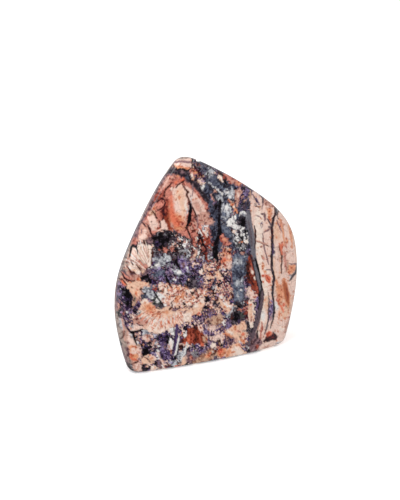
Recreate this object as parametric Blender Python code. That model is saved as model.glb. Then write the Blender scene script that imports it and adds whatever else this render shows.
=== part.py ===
"""A polished freeform of opalized rock, one piece, standing on its sawn base.

The stone is a block that has been ground on a flat lap, one broad facet after
another, and then tumbled until the ridges are round. Each facet is slightly
crowned, so it is part of a large sphere. The front face looks along -Y, the
stone rests on the plane z = 0, and the origin is at the middle of the base's
bounding box. Sizes here are in millimetres and the mesh is in metres.
"""

from collections import namedtuple
from math import atan, atan2, cos, hypot, pi, radians, sin, tan

import bmesh
import bpy
from mathutils import Vector

MILLIMETRE = 0.001

# The heart is a point inside the stone that every facet is measured from.
HEART = Vector((0.5, -1.1, 30.0))

# A facet faces azimuth (0 is the front, 90 the right side) and elevation, in
# degrees. It lies at reach from the heart, has the radius crown, and meets the
# facets before it in a ridge as wide as rounding.
Facet = namedtuple("Facet", "azimuth elevation reach crown rounding")

FACETS = {
    "front": Facet(0, 2, 14.0, 240, 0),
    "back": Facet(176, 7, 16.0, 75, 9),
    "back_left": Facet(-152, 4, 21.0, 90, 8),
    "back_right": Facet(142, 10, 31.0, 200, 10),
    "front_right": Facet(36, 3, 28.3, 500, 14),
    "left_upper": Facet(-124, 24, 26.4, 330, 5),
    "left_lower": Facet(-120, -1, 32.2, 105, 4.5),
    "right_upper": Facet(106, 54, 29.0, 290, 4),
    "right_middle": Facet(80, 21, 38.1, 150, 9),
    "right_lower": Facet(82, -11, 37.2, 140, 5),
}
BASE_ROUNDING = 2.0

# A vein of softer rock crosses the ridge beside the tip and has chipped out.
NOTCH_PLACE = Vector((-5.2, -7.3, 68.9))
NOTCH_WIDTH = 1.4
NOTCH_LENGTH = 10.0
NOTCH_DEPTH = 1.2
NOTCH_LEAN = radians(20)
NOTCH_TURN = radians(-28)

# The mesh starts as a cube from -1 to 1, cut into this many rows along X, Y
# and Z. SQUASH flattens it along Y, so that its front edges come near the
# ridges, and CROWDING above 1 draws its rows towards the rim of the base.
ROWS = (34, 20, 34)
SQUASH = 0.45
CROWDING = 1.2
UNDERSIDE = -0.9999

# The ground surface is found along each ray between the heart and FARTHEST.
FARTHEST = 80.0
HALVINGS = 34

STONE_COLOUR = (0.36, 0.24, 0.24, 1.0)
STONE_ROUGHNESS = 0.18


def clear_scene():
    for item in list(bpy.data.objects):
        bpy.data.objects.remove(item, do_unlink=True)


def facing(facet):
    """The direction that a facet looks in."""
    azimuth = radians(facet.azimuth)
    elevation = radians(facet.elevation)
    level = cos(elevation)
    return Vector((sin(azimuth) * level, -cos(azimuth) * level, sin(elevation)))


def crown_centres():
    """The centre of each facet's sphere, measured from the heart."""
    return [(facing(facet) * (facet.reach - facet.crown), facet) for facet in FACETS.values()]


CENTRES = crown_centres()


def blend(first, second, width):
    """The larger of two distances, eased where they come within width."""
    near = max(width - abs(first - second), 0.0)
    return max(first, second) + near * near / (4 * width)


def outside_walls(point):
    """How far a point, measured from the heart, is outside the ground walls."""
    depth = None
    for centre, facet in CENTRES:
        here = (point - centre).length - facet.crown
        depth = here if depth is None else blend(depth, here, facet.rounding)
    return depth


def outside_stone(point):
    """How far a point, measured from the heart, is outside the whole stone."""
    return blend(outside_walls(point), -HEART.z - point.z, BASE_ROUNDING)


def first_zero(depth_at):
    """The distance at which a rising depth reaches zero, by halving."""
    low, high = 0.0, FARTHEST
    for _ in range(HALVINGS):
        middle = (low + high) / 2
        if depth_at(middle) > 0:
            high = middle
        else:
            low = middle
    return (low + high) / 2


def base_rim(heading):
    """The radius of the flat of the base at a heading round the heart."""
    def depth_at(radius):
        foot = Vector((cos(heading) * radius, sin(heading) * radius, -HEART.z))
        return outside_walls(foot) + BASE_ROUNDING
    return first_zero(depth_at)


def on_rim(heading, rim):
    """A point on the edge of the flat base."""
    return Vector((cos(heading) * rim, sin(heading) * rim, -HEART.z))


def on_wall(corner, heading, rim):
    """A point of the cube's other sides, carried out to the ground stone.

    The angle from straight down is eased, so that the cube's lowest edge
    comes to the rim of the base and the rows lie closer just above it.
    """
    level = hypot(corner.x, corner.y)
    steepness = atan2(level, -corner.z)
    cube_edge = atan(1 / max(abs(cos(heading)), abs(sin(heading)) / SQUASH))
    rim_edge = atan(rim / HEART.z)
    share = (steepness - cube_edge) / (pi - cube_edge)
    eased = rim_edge + share ** CROWDING * (pi - rim_edge)
    ray = Vector((cos(heading) * sin(eased), sin(heading) * sin(eased), -cos(eased)))
    return ray * first_zero(lambda distance: outside_stone(ray * distance))


def grind(mesh):
    """Carry every point of the cube to its place on the stone."""
    for vert in mesh.verts:
        corner = Vector([tan(value * pi / 4) for value in vert.co])
        corner.y *= SQUASH
        heading = atan2(corner.y, corner.x)
        rim = base_rim(heading)
        underside = vert.co.z < UNDERSIDE
        place = on_rim(heading, rim) if underside else on_wall(corner, heading, rim)
        vert.co = (HEART + place) * MILLIMETRE


def rows_across(mesh, axis, count):
    """Cut every edge that runs along one axis, and the faces between, into rows."""
    along = []
    for edge in mesh.edges:
        run = edge.verts[1].co - edge.verts[0].co
        if abs(run[axis]) > 0.9 * run.length:
            along.append(edge)
    bmesh.ops.subdivide_edges(mesh, edges=along, cuts=count - 1, use_grid_fill=True)


def ground_stone():
    """A cube cut into rows, ground to shape, with one flat face as its base."""
    mesh = bmesh.new()
    bmesh.ops.create_cube(mesh, size=2)
    for axis, count in enumerate(ROWS):
        rows_across(mesh, axis, count)
    underside = [face for face in mesh.faces if face.calc_center_median().z < UNDERSIDE]
    bmesh.ops.dissolve_faces(mesh, faces=underside, use_verts=False)
    loose = [vert for vert in mesh.verts if not vert.link_faces]
    bmesh.ops.delete(mesh, geom=loose, context="VERTS")
    grind(mesh)
    data = bpy.data.meshes.new("stone")
    mesh.to_mesh(data)
    mesh.free()
    stone = bpy.data.objects.new("stone", data)
    bpy.context.collection.objects.link(stone)
    return stone


def cut_notch(stone):
    """Sink a small worn groove into the ridge beside the tip."""
    mesh = bmesh.new()
    bmesh.ops.create_icosphere(mesh, subdivisions=2, radius=0.5 * MILLIMETRE)
    bmesh.ops.scale(mesh, verts=mesh.verts, vec=(NOTCH_WIDTH, NOTCH_LENGTH, 2 * NOTCH_DEPTH))
    data = bpy.data.meshes.new("notch_cutter")
    mesh.to_mesh(data)
    mesh.free()
    cutter = bpy.data.objects.new("notch_cutter", data)
    bpy.context.collection.objects.link(cutter)
    cutter.location = NOTCH_PLACE * MILLIMETRE
    cutter.rotation_euler = (0, NOTCH_LEAN, NOTCH_TURN)
    cutter.display_type = "WIRE"
    cutter.hide_render = True
    cut = stone.modifiers.new("notch", "BOOLEAN")
    cut.operation = "DIFFERENCE"
    cut.solver = "EXACT"
    cut.object = cutter


def polished_rock():
    material = bpy.data.materials.new("polished_rock")
    material.use_nodes = True
    shader = material.node_tree.nodes["Principled BSDF"]
    shader.inputs["Base Color"].default_value = STONE_COLOUR
    shader.inputs["Roughness"].default_value = STONE_ROUGHNESS
    shader.inputs["Metallic"].default_value = 0.0
    return material


clear_scene()
freeform = ground_stone()
freeform.data.materials.append(polished_rock())
cut_notch(freeform)
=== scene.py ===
from collections import namedtuple
from itertools import product
from math import cos, pi, radians, sin

import bpy
import numpy as np
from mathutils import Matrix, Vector


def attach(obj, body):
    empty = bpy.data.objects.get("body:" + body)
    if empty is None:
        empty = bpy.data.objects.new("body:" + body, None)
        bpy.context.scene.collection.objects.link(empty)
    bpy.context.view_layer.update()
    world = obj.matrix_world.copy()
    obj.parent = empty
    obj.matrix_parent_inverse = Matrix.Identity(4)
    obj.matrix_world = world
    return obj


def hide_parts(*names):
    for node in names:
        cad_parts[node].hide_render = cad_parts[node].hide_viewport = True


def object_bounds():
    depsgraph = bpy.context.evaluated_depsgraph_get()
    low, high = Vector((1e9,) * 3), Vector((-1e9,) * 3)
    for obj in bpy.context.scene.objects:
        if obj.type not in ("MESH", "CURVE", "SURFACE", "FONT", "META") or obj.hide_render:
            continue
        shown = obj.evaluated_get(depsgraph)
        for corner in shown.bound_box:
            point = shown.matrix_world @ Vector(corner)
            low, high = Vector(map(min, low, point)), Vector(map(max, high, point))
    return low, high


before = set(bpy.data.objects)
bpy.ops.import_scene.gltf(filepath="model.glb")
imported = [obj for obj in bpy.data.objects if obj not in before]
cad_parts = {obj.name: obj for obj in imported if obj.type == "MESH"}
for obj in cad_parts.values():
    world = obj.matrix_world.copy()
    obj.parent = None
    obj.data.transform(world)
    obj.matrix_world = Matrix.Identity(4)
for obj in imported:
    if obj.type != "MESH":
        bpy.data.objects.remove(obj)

CAD_BOX = [list(corner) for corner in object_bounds()]
MILLIMETRE = 0.001

# The photograph's view of the stone: where the camera stands round it, how far
# away, and what it looks at, in degrees and metres. The picture is this many
# pixels wide and high, and places on the stone's face are given in its pixels.
CAMERA_AZIMUTH = -28.0
CAMERA_ELEVATION = 16.43
CAMERA_DISTANCE = 0.470
CAMERA_AIM = Vector((-0.00076, -0.0011, 0.0357))
CAMERA_LENS = 100.0
SENSOR = 36.0
PICTURE = (400, 500)


def away(azimuth, elevation):
    """The direction from the stone towards an azimuth and an elevation."""
    turn, rise = radians(azimuth), radians(elevation)
    return np.array([sin(turn) * cos(rise), -cos(turn) * cos(rise), sin(rise)])


# The stone as it was ground: the same crowned facets as the solid, because the
# frame holds the solid's flat triangles alone. Millimetres and degrees.
HEART = np.array([0.5, -1.1, 30.0])
Facet = namedtuple("Facet", "azimuth elevation reach crown rounding")
FACETS = {
    "front": Facet(0, 2, 14.0, 240, 0),
    "back": Facet(176, 7, 16.0, 75, 9),
    "back_left": Facet(-152, 4, 21.0, 90, 8),
    "back_right": Facet(142, 10, 31.0, 200, 10),
    "front_right": Facet(36, 3, 28.3, 500, 14),
    "left_upper": Facet(-124, 24, 26.4, 330, 5),
    "left_lower": Facet(-120, -1, 32.2, 105, 4.5),
    "right_upper": Facet(106, 54, 29.0, 290, 4),
    "right_middle": Facet(80, 21, 38.1, 150, 9),
    "right_lower": Facet(82, -11, 37.2, 140, 5),
}
BASE_ROUNDING = 2.0

# The worn notch beside the tip: its middle, half its width, length and depth, and how
# it leans and turns. It is deeper than the solid's and a little further right, as the
# photograph shows it.
NOTCH_PLACE = np.array([-4.75, -7.5, 68.8])
NOTCH_RADII = np.array([0.75, 5.0, 2.3])
NOTCH_LEAN = radians(20)
NOTCH_TURN = radians(-28)
NOTCH_ROUNDING = 0.2

# The mesh starts as a cube, cut into rows along its width, depth and height. It is
# squashed to the stone's thickness, and its rows crowd a little towards the base. An
# edge runs along an axis if this share of it does. Points below the floor are under it.
ROWS = (50, 16, 50)
ALONG = 0.9
CUBE_FLOOR = -0.9999
SQUASH = 0.45
CROWDING = 1.2

# Rounds of halving the edges that are longer than this many millimetres, in front,
# where the surface turns at least a little to the camera, and behind.
REFINEMENTS = 4
FRONT_EDGE = 0.42
BACK_EDGE = 0.78
IN_SIGHT = 0.05

# The surface is found along a ray by halving this many millimetres, so many times.
FARTHEST = 80.0
HALVINGS = 26


def blend(first, second, width):
    """The larger of two distances, eased where they come within width."""
    near = np.maximum(width - np.abs(first - second), 0.0)
    return np.maximum(first, second) + near * near / (4 * width)


def outside_walls(points):
    """How far points, measured from the heart, are outside the ground walls."""
    depth = None
    for facet in FACETS.values():
        centre = away(facet.azimuth, facet.elevation) * (facet.reach - facet.crown)
        here = np.linalg.norm(points - centre, axis=-1) - facet.crown
        depth = here if depth is None else blend(depth, here, facet.rounding)
    return depth


def inside_notch(points):
    """How deep points, measured from the heart, are in the worn notch."""
    steps = points + HEART - NOTCH_PLACE
    turned = np.stack([
        steps[..., 0] * cos(NOTCH_TURN) + steps[..., 1] * sin(NOTCH_TURN),
        steps[..., 1] * cos(NOTCH_TURN) - steps[..., 0] * sin(NOTCH_TURN),
        steps[..., 2],
    ], axis=-1)
    leaned = np.stack([
        turned[..., 0] * cos(NOTCH_LEAN) - turned[..., 2] * sin(NOTCH_LEAN),
        turned[..., 1],
        turned[..., 2] * cos(NOTCH_LEAN) + turned[..., 0] * sin(NOTCH_LEAN),
    ], axis=-1)
    return (1 - np.linalg.norm(leaned / NOTCH_RADII, axis=-1)) * NOTCH_RADII[0]


def outside_stone(points):
    """How far points, measured from the heart, are outside the whole stone."""
    based = blend(outside_walls(points), -HEART[2] - points[..., 2], BASE_ROUNDING)
    return blend(based, inside_notch(points), NOTCH_ROUNDING)


def first_zero(depth_at, count):
    """For each of count rays, the distance at which a rising depth is zero."""
    low, high = np.zeros(count), np.full(count, FARTHEST)
    for _ in range(HALVINGS):
        middle = (low + high) / 2
        beyond = depth_at(middle) > 0
        high = np.where(beyond, middle, high)
        low = np.where(beyond, low, middle)
    return (low + high) / 2


def on_surface(rays):
    """Where rays from the heart meet the stone's surface, measured from the heart."""
    reach = first_zero(lambda distance: outside_stone(rays * distance[:, None]), len(rays))
    return rays * reach[:, None]


def base_rim(heading):
    """The radius of the flat of the base at each heading round the heart."""
    level = np.stack([np.cos(heading), np.sin(heading), np.zeros_like(heading)], axis=-1)
    foot = np.array([0.0, 0.0, -HEART[2]])
    return first_zero(
        lambda radius: outside_walls(level * radius[:, None] + foot) + BASE_ROUNDING, len(heading))


def ground(cube):
    """Carry the points of a cube from -1 to 1 to their places on the stone."""
    corner = np.tan(cube * pi / 4) * np.array([1.0, SQUASH, 1.0])
    heading = np.arctan2(corner[:, 1], corner[:, 0])
    level = np.hypot(corner[:, 0], corner[:, 1])
    edge = 1 / np.maximum(np.abs(np.cos(heading)), np.abs(np.sin(heading)) / SQUASH)
    rim = base_rim(heading)
    cube_edge, rim_edge = np.arctan(edge), np.arctan(rim / HEART[2])
    share = (np.arctan2(level, -corner[:, 2]) - cube_edge) / (pi - cube_edge)
    eased = rim_edge + np.maximum(share, 0.0) ** CROWDING * (pi - rim_edge)
    ray = np.stack([
        np.cos(heading) * np.sin(eased), np.sin(heading) * np.sin(eased), -np.cos(eased)], axis=-1)
    spread = level / edge * rim
    foot = np.stack([
        np.cos(heading) * spread, np.sin(heading) * spread, np.full(len(cube), -HEART[2])], axis=-1)
    underside = cube[:, 2] < CUBE_FLOOR
    return np.where(underside[:, None], foot, on_surface(ray)) + HEART


def points_of(mesh, what="co"):
    """The places of a mesh's points, or their normals, one row for each point."""
    values = np.empty(len(mesh.vertices) * 3)
    mesh.vertices.foreach_get(what, values)
    return values.reshape(-1, 3)


def move_points(mesh, places):
    mesh.vertices.foreach_set("co", places.ravel())
    mesh.update()


def cut_rows(mesh, axis, count):
    """In edit mode, cut every edge that runs along one axis into rows."""
    bpy.ops.mesh.select_all(action="DESELECT")
    bpy.ops.object.mode_set(mode="OBJECT")
    for edge in mesh.edges:
        first, second = (mesh.vertices[index].co for index in edge.vertices)
        run = second - first
        edge.select = abs(run[axis]) > ALONG * run.length
    bpy.ops.object.mode_set(mode="EDIT")
    bpy.ops.mesh.subdivide(number_cuts=count - 1)


def refine(mesh):
    """Halve the edges that are too long, and grind the new points to the surface."""
    places = points_of(mesh)
    facing = points_of(mesh, "normal") @ away(CAMERA_AZIMUTH, CAMERA_ELEVATION)
    ends = np.empty(len(mesh.edges) * 2, dtype=int)
    mesh.edges.foreach_get("vertices", ends)
    ends = ends.reshape(-1, 2)
    length = np.linalg.norm(places[ends[:, 0]] - places[ends[:, 1]], axis=1)
    limit = np.where(facing[ends].max(axis=1) > IN_SIGHT, FRONT_EDGE, BACK_EDGE) * MILLIMETRE
    mesh.edges.foreach_set("select", length > limit)
    bpy.ops.object.mode_set(mode="EDIT")
    bpy.ops.mesh.subdivide(number_cuts=1)
    bpy.ops.mesh.select_all(action="DESELECT")
    bpy.ops.object.mode_set(mode="OBJECT")
    rays = points_of(mesh) / MILLIMETRE - HEART
    rays /= np.linalg.norm(rays, axis=1)[:, None]
    move_points(mesh, (on_surface(rays) + HEART) * MILLIMETRE)


def ground_stone():
    """The whole stone in one mesh, finest on the side that the photograph shows."""
    bpy.ops.object.select_all(action="DESELECT")
    bpy.ops.mesh.primitive_cube_add(size=2)
    stone = bpy.context.object
    stone.name = stone.data.name = "freeform"
    bpy.ops.object.mode_set(mode="EDIT")
    bpy.ops.mesh.select_mode(type="EDGE")
    for axis, count in enumerate(ROWS):
        cut_rows(stone.data, axis, count)
    bpy.ops.mesh.select_all(action="DESELECT")
    bpy.ops.object.mode_set(mode="OBJECT")
    move_points(stone.data, ground(points_of(stone.data)) * MILLIMETRE)
    for _ in range(REFINEMENTS):
        refine(stone.data)
    bpy.ops.object.shade_smooth()
    return stone


# The painting of the stone. A mark is a patch, a spot or a vein of one kind of rock, or
# a patch of mixed grains. Each is laid over the marks before it, and each point of the
# mesh takes the rock on top.

# A kind of rock: its colour, the colour of the shards in it, the share of it that is
# shards, how grainy it is and how finely cracked. Colours are as a screen shows them.
Rock = namedtuple("Rock", "tint shard share grain crackle", defaults=(0.0,))

# An outline is a text of places, a vein's path a text of places and widths, and soft is
# how far an edge fades, all in pixels. A mix names several kinds of rock in one text.
Patch = namedtuple("Patch", "rock outline soft", defaults=(0.8,))
Mix = namedtuple("Mix", "rocks outline soft", defaults=(0.8,))
Spot = namedtuple("Spot", "rock x y wide high soft turn", defaults=(0.5, 0.0))
Vein = namedtuple("Vein", "rock path soft", defaults=(0.4,))


# Large whole numbers that stir a cell's place and a salt into an even chance.
SALT_STEP, SALT_START = 7919, 17
SPREAD, STIR = np.uint32(2654435761), np.uint32(2246822519)
FOLDS = np.uint32(15), np.uint32(13)
LARGEST = 4294967295.0


def hashed(cells, salt):
    """A number from 0 to 1 for each whole-numbered cell, always the same."""
    mixed = np.full(cells.shape[:-1], salt * SALT_STEP + SALT_START, dtype=np.uint32)
    for axis in range(cells.shape[-1]):
        mixed = (mixed ^ cells[..., axis].astype(np.int64).astype(np.uint32)) * SPREAD
        mixed ^= mixed >> FOLDS[0]
        mixed *= STIR
        mixed ^= mixed >> FOLDS[1]
    return mixed / LARGEST


def value_noise(points, salt=0):
    """Smooth noise from -1 to 1 over points of two or three coordinates."""
    corner = np.floor(points)
    part = points - corner
    eased = part * part * (3 - 2 * part)
    size = points.shape[-1]
    total = 0.0
    for index in range(2 ** size):
        step = np.array([(index >> axis) & 1 for axis in range(size)])
        weight = np.prod(np.where(step == 1, eased, 1 - eased), axis=-1)
        total = total + weight * hashed(corner + step, salt)
    return total * 2 - 1


OCTAVE_SHIFT = 31.7


def layered_noise(points, octaves=3, salt=0):
    """Noise with finer and weaker layers added to it."""
    total, weight = 0.0, 1.0
    for octave in range(octaves):
        total = total + weight * value_noise(points * 2 ** octave + OCTAVE_SHIFT * octave, salt + octave)
        weight /= 2
    return total / (2 - 2 * weight)


def numbers(text, count):
    """Groups of numbers from a text such as "12 30,14 33"."""
    return np.array([[float(word) for word in group.split()] for group in text.split(",")]).reshape(-1, count)


# A feather's steps: their shares of the way outwards, and its width there in pixels.
FEATHER_STEPS = ((0.0, 0.3), (0.2, 0.9), (0.4, 0.3))
FEATHER_START = 0.6
GOLDEN = 0.618


def feathers(rocks, x, y, near, far, start, end, count):
    """Fine veins that spread from a middle, between two reaches and two angles.

    Each is thin at its ends and takes the next of the rocks. It covers a part of
    the way from near to far, and begins at another place than the one beside it.
    """
    kinds = rocks.split()
    marks = []
    for index in range(count):
        angle = radians(start + (end - start) * (index + 0.5) / count)
        inner = near + (far - near) * (index * GOLDEN % 1) * FEATHER_START
        path = []
        for share, width in FEATHER_STEPS:
            reach = inner + share * (far - near)
            path.append(f"{x + reach * cos(angle):.1f} {y + reach * sin(angle):.1f} {width}")
        marks.append(Vein(kinds[index % len(kinds)], ",".join(path)))
    return marks


TINY = 1e-9


def from_line(points, start, end):
    """How far points are from a straight line, and at what share of the way along."""
    run, offset = end - start, points - start
    along = np.clip((offset @ run) / max(run @ run, TINY), 0, 1)
    return np.linalg.norm(offset - along[:, None] * run, axis=1), along


def outside_outline(points, corners):
    """The distance of points outside a closed outline, negative within it."""
    nearest = np.full(len(points), np.inf)
    crossings = np.zeros(len(points), dtype=bool)
    for start, end in zip(corners, np.roll(corners, -1, axis=0)):
        nearest = np.minimum(nearest, from_line(points, start, end)[0])
        straddles = (start[1] > points[:, 1]) != (end[1] > points[:, 1])
        run = end - start
        reach = start[0] + (points[:, 1] - start[1]) * run[0] / (run[1] if run[1] else TINY)
        crossings ^= straddles & (points[:, 0] < reach)
    return np.where(crossings, -nearest, nearest)


def outside_spot(points, spot):
    """The distance of points outside an oval, roughly."""
    turn = radians(spot.turn)
    step = points - (spot.x, spot.y)
    across = (step[:, 0] * cos(turn) + step[:, 1] * sin(turn)) / spot.wide
    down = (step[:, 1] * cos(turn) - step[:, 0] * sin(turn)) / spot.high
    return (np.hypot(across, down) - 1) * min(spot.wide, spot.high)


def outside_vein(points, path):
    """The distance of points outside a line whose width changes along it."""
    nearest = np.full(len(points), np.inf)
    for start, end in zip(path, path[1:]):
        distance, along = from_line(points, start[:2], end[:2])
        width = start[2] + along * (end[2] - start[2])
        nearest = np.minimum(nearest, distance - width / 2)
    return nearest


def reach_of(mark):
    """The corners of the box that a mark can touch."""
    if isinstance(mark, Spot):
        span = max(mark.wide, mark.high)
        return np.array([mark.x - span, mark.y - span]), np.array([mark.x + span, mark.y + span])
    places = numbers(mark.path, 3)[:, :2] if isinstance(mark, Vein) else numbers(mark.outline, 2)
    return places.min(axis=0), places.max(axis=0)


def outside_mark(points, mark):
    """The distance of points outside a mark of any sort."""
    if isinstance(mark, Spot):
        return outside_spot(points, mark)
    if isinstance(mark, Vein):
        return outside_vein(points, numbers(mark.path, 3))
    return outside_outline(points, numbers(mark.outline, 2))


def screen_to_light(colour):
    """Colour from 0 to 255, as a screen shows it, to plain light from 0 to 1."""
    level = np.asarray(colour, dtype=float) / 255
    return np.where(level <= 0.04045, level / 12.92, ((level + 0.055) / 1.055) ** 2.4)


def rock_values(rock):
    """A kind of rock as a row: tint, share, shard colour, grain and crackle."""
    tint, shard = screen_to_light(rock.tint), screen_to_light(rock.shard)
    return np.array([*tint, rock.share, *shard, rock.grain, rock.crackle])


def pick(kinds, chance):
    """The rock values of the kinds that the chances from 0 to 1 fall on."""
    table = np.array([rock_values(ROCKS[kind]) for kind in kinds])
    return table[np.minimum((chance * len(kinds)).astype(int), len(kinds) - 1)]


# The grains of a mix, and a little more than half of the widest vein, in pixels.
GRAIN_PIXELS = 1.5
WIDEST_HALF = 4


def mark_values(points, mark):
    """The rock values of a mark, which differ from grain to grain in a mix."""
    if not isinstance(mark, Mix):
        return rock_values(ROCKS[mark.rock])
    grain, _ = shards(points / GRAIN_PIXELS, salt=61)
    return pick(mark.rocks.split(), hashed(grain, salt=62))


def lay(marks, points, painted):
    """Lay marks over what is painted, in order. Their edges wander a little."""
    for mark in marks:
        low, high = reach_of(mark)
        margin = mark.soft + WIDEST_HALF
        near = np.flatnonzero(((points > low - margin) & (points < high + margin)).all(axis=1))
        if not len(near):
            continue
        outside = outside_mark(points[near], mark)
        cover = np.clip(0.5 - outside / (2 * mark.soft), 0, 1)[:, None]
        cover = cover * cover * (3 - 2 * cover)
        painted[near] += (mark_values(points[near], mark) - painted[near]) * cover
    return painted


def wandering(points, reach=0.9, span=3.2):
    """Points moved a little, so that straight marks get the edges of broken rock."""
    sideways = layered_noise(points / span, 2, salt=3)
    upwards = layered_noise(points / span, 2, salt=9)
    return points + reach * np.stack([sideways, upwards], axis=-1)


def shards(points, salt):
    """The shard that each point lies in, and how near it is to the shard's edge."""
    corner = np.floor(points)
    nearest, second = np.full(len(points), np.inf), np.full(len(points), np.inf)
    owner = corner.copy()
    for step in product((-1, 0, 1), repeat=points.shape[1]):
        cell = corner + step
        middle = cell + np.stack([hashed(cell, salt + axis) for axis in range(points.shape[1])], axis=-1)
        gap = np.linalg.norm(points - middle, axis=-1)
        closer = gap < nearest
        second = np.where(closer, nearest, np.minimum(second, gap))
        owner = np.where(closer[:, None], cell, owner)
        nearest = np.where(closer, gap, nearest)
    return owner, second - nearest


SPECKLE_CRISPNESS = 12
SPECKLE_SWING = 0.9


def speckle(points, painted, size):
    """Turn some small shards of each rock to its other colour, and vary the rest."""
    shard, _ = shards(points / size, salt=41)
    chance, level = hashed(shard, salt=51), hashed(shard, salt=52)
    turned = np.clip((painted[:, 3] - chance) * SPECKLE_CRISPNESS + 0.5, 0, 1)[:, None]
    painted[:, :3] += (painted[:, 4:7] - painted[:, :3]) * turned
    painted[:, :3] *= 1 + painted[:, 7:8] * (level[:, None] - 0.5) * SPECKLE_SWING
    return painted


# The kinds of rock, from nearly black to red and pale, then the greys and purples.
ROCKS = {
    "ink": Rock((18, 13, 18), (66, 54, 66), 0.12, 0.5),
    "coal": Rock((44, 36, 44), (104, 92, 100), 0.28, 0.7),
    "umber": Rock((80, 40, 34), (34, 18, 20), 0.3, 0.4),
    "maroon": Rock((56, 22, 28), (110, 40, 40), 0.2, 0.4),
    "amber": Rock((178, 92, 54), (136, 60, 36), 0.1, 0.2),
    "rust": Rock((148, 64, 42), (88, 26, 20), 0.3, 0.4),
    "brick": Rock((176, 84, 66), (112, 44, 36), 0.3, 0.4, 0.2),
    "coral": Rock((226, 120, 90), (180, 70, 48), 0.2, 0.25, 0.1),
    "salmon": Rock((208, 132, 116), (140, 66, 58), 0.2, 0.4, 0.4),
    "rose": Rock((208, 156, 140), (154, 94, 82), 0.14, 0.24, 0.4),
    "blush": Rock((240, 206, 192), (214, 146, 120), 0.05, 0.18, 0.3),
    "peach": Rock((238, 194, 168), (214, 136, 106), 0.09, 0.2, 0.2),
    "apricot": Rock((230, 156, 118), (186, 90, 60), 0.22, 0.3, 0.2),
    "cream": Rock((246, 224, 210), (228, 170, 142), 0.05, 0.15, 0.2),
    "white": Rock((238, 234, 230), (200, 188, 190), 0.15, 0.2),
    "pearl": Rock((196, 196, 200), (112, 110, 120), 0.3, 0.5),
    "tan": Rock((200, 160, 136), (150, 102, 82), 0.25, 0.3),
    "taupe": Rock((174, 154, 144), (122, 100, 94), 0.15, 0.25, 0.3),
    "ash": Rock((142, 136, 140), (40, 34, 42), 0.35, 0.7),
    "mauve": Rock((146, 112, 116), (84, 56, 66), 0.35, 0.5, 0.3),
    "dusk": Rock((100, 82, 90), (44, 34, 44), 0.35, 0.5),
    "slate": Rock((84, 86, 104), (34, 32, 46), 0.35, 0.6),
    "grey": Rock((118, 114, 122), (84, 82, 92), 0.2, 0.3),
    "steel": Rock((118, 124, 140), (72, 76, 96), 0.35, 0.4),
    "plum": Rock((46, 29, 56), (160, 132, 158), 0.2, 1.0),
    "violet": Rock((82, 62, 106), (32, 18, 46), 0.4, 0.9),
    "lavender": Rock((152, 134, 172), (84, 62, 108), 0.35, 0.6),
    "moss": Rock((92, 94, 90), (34, 34, 36), 0.4, 0.6),
}

# The marks of the front face, region by region, in the photograph's pixels.

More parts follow.
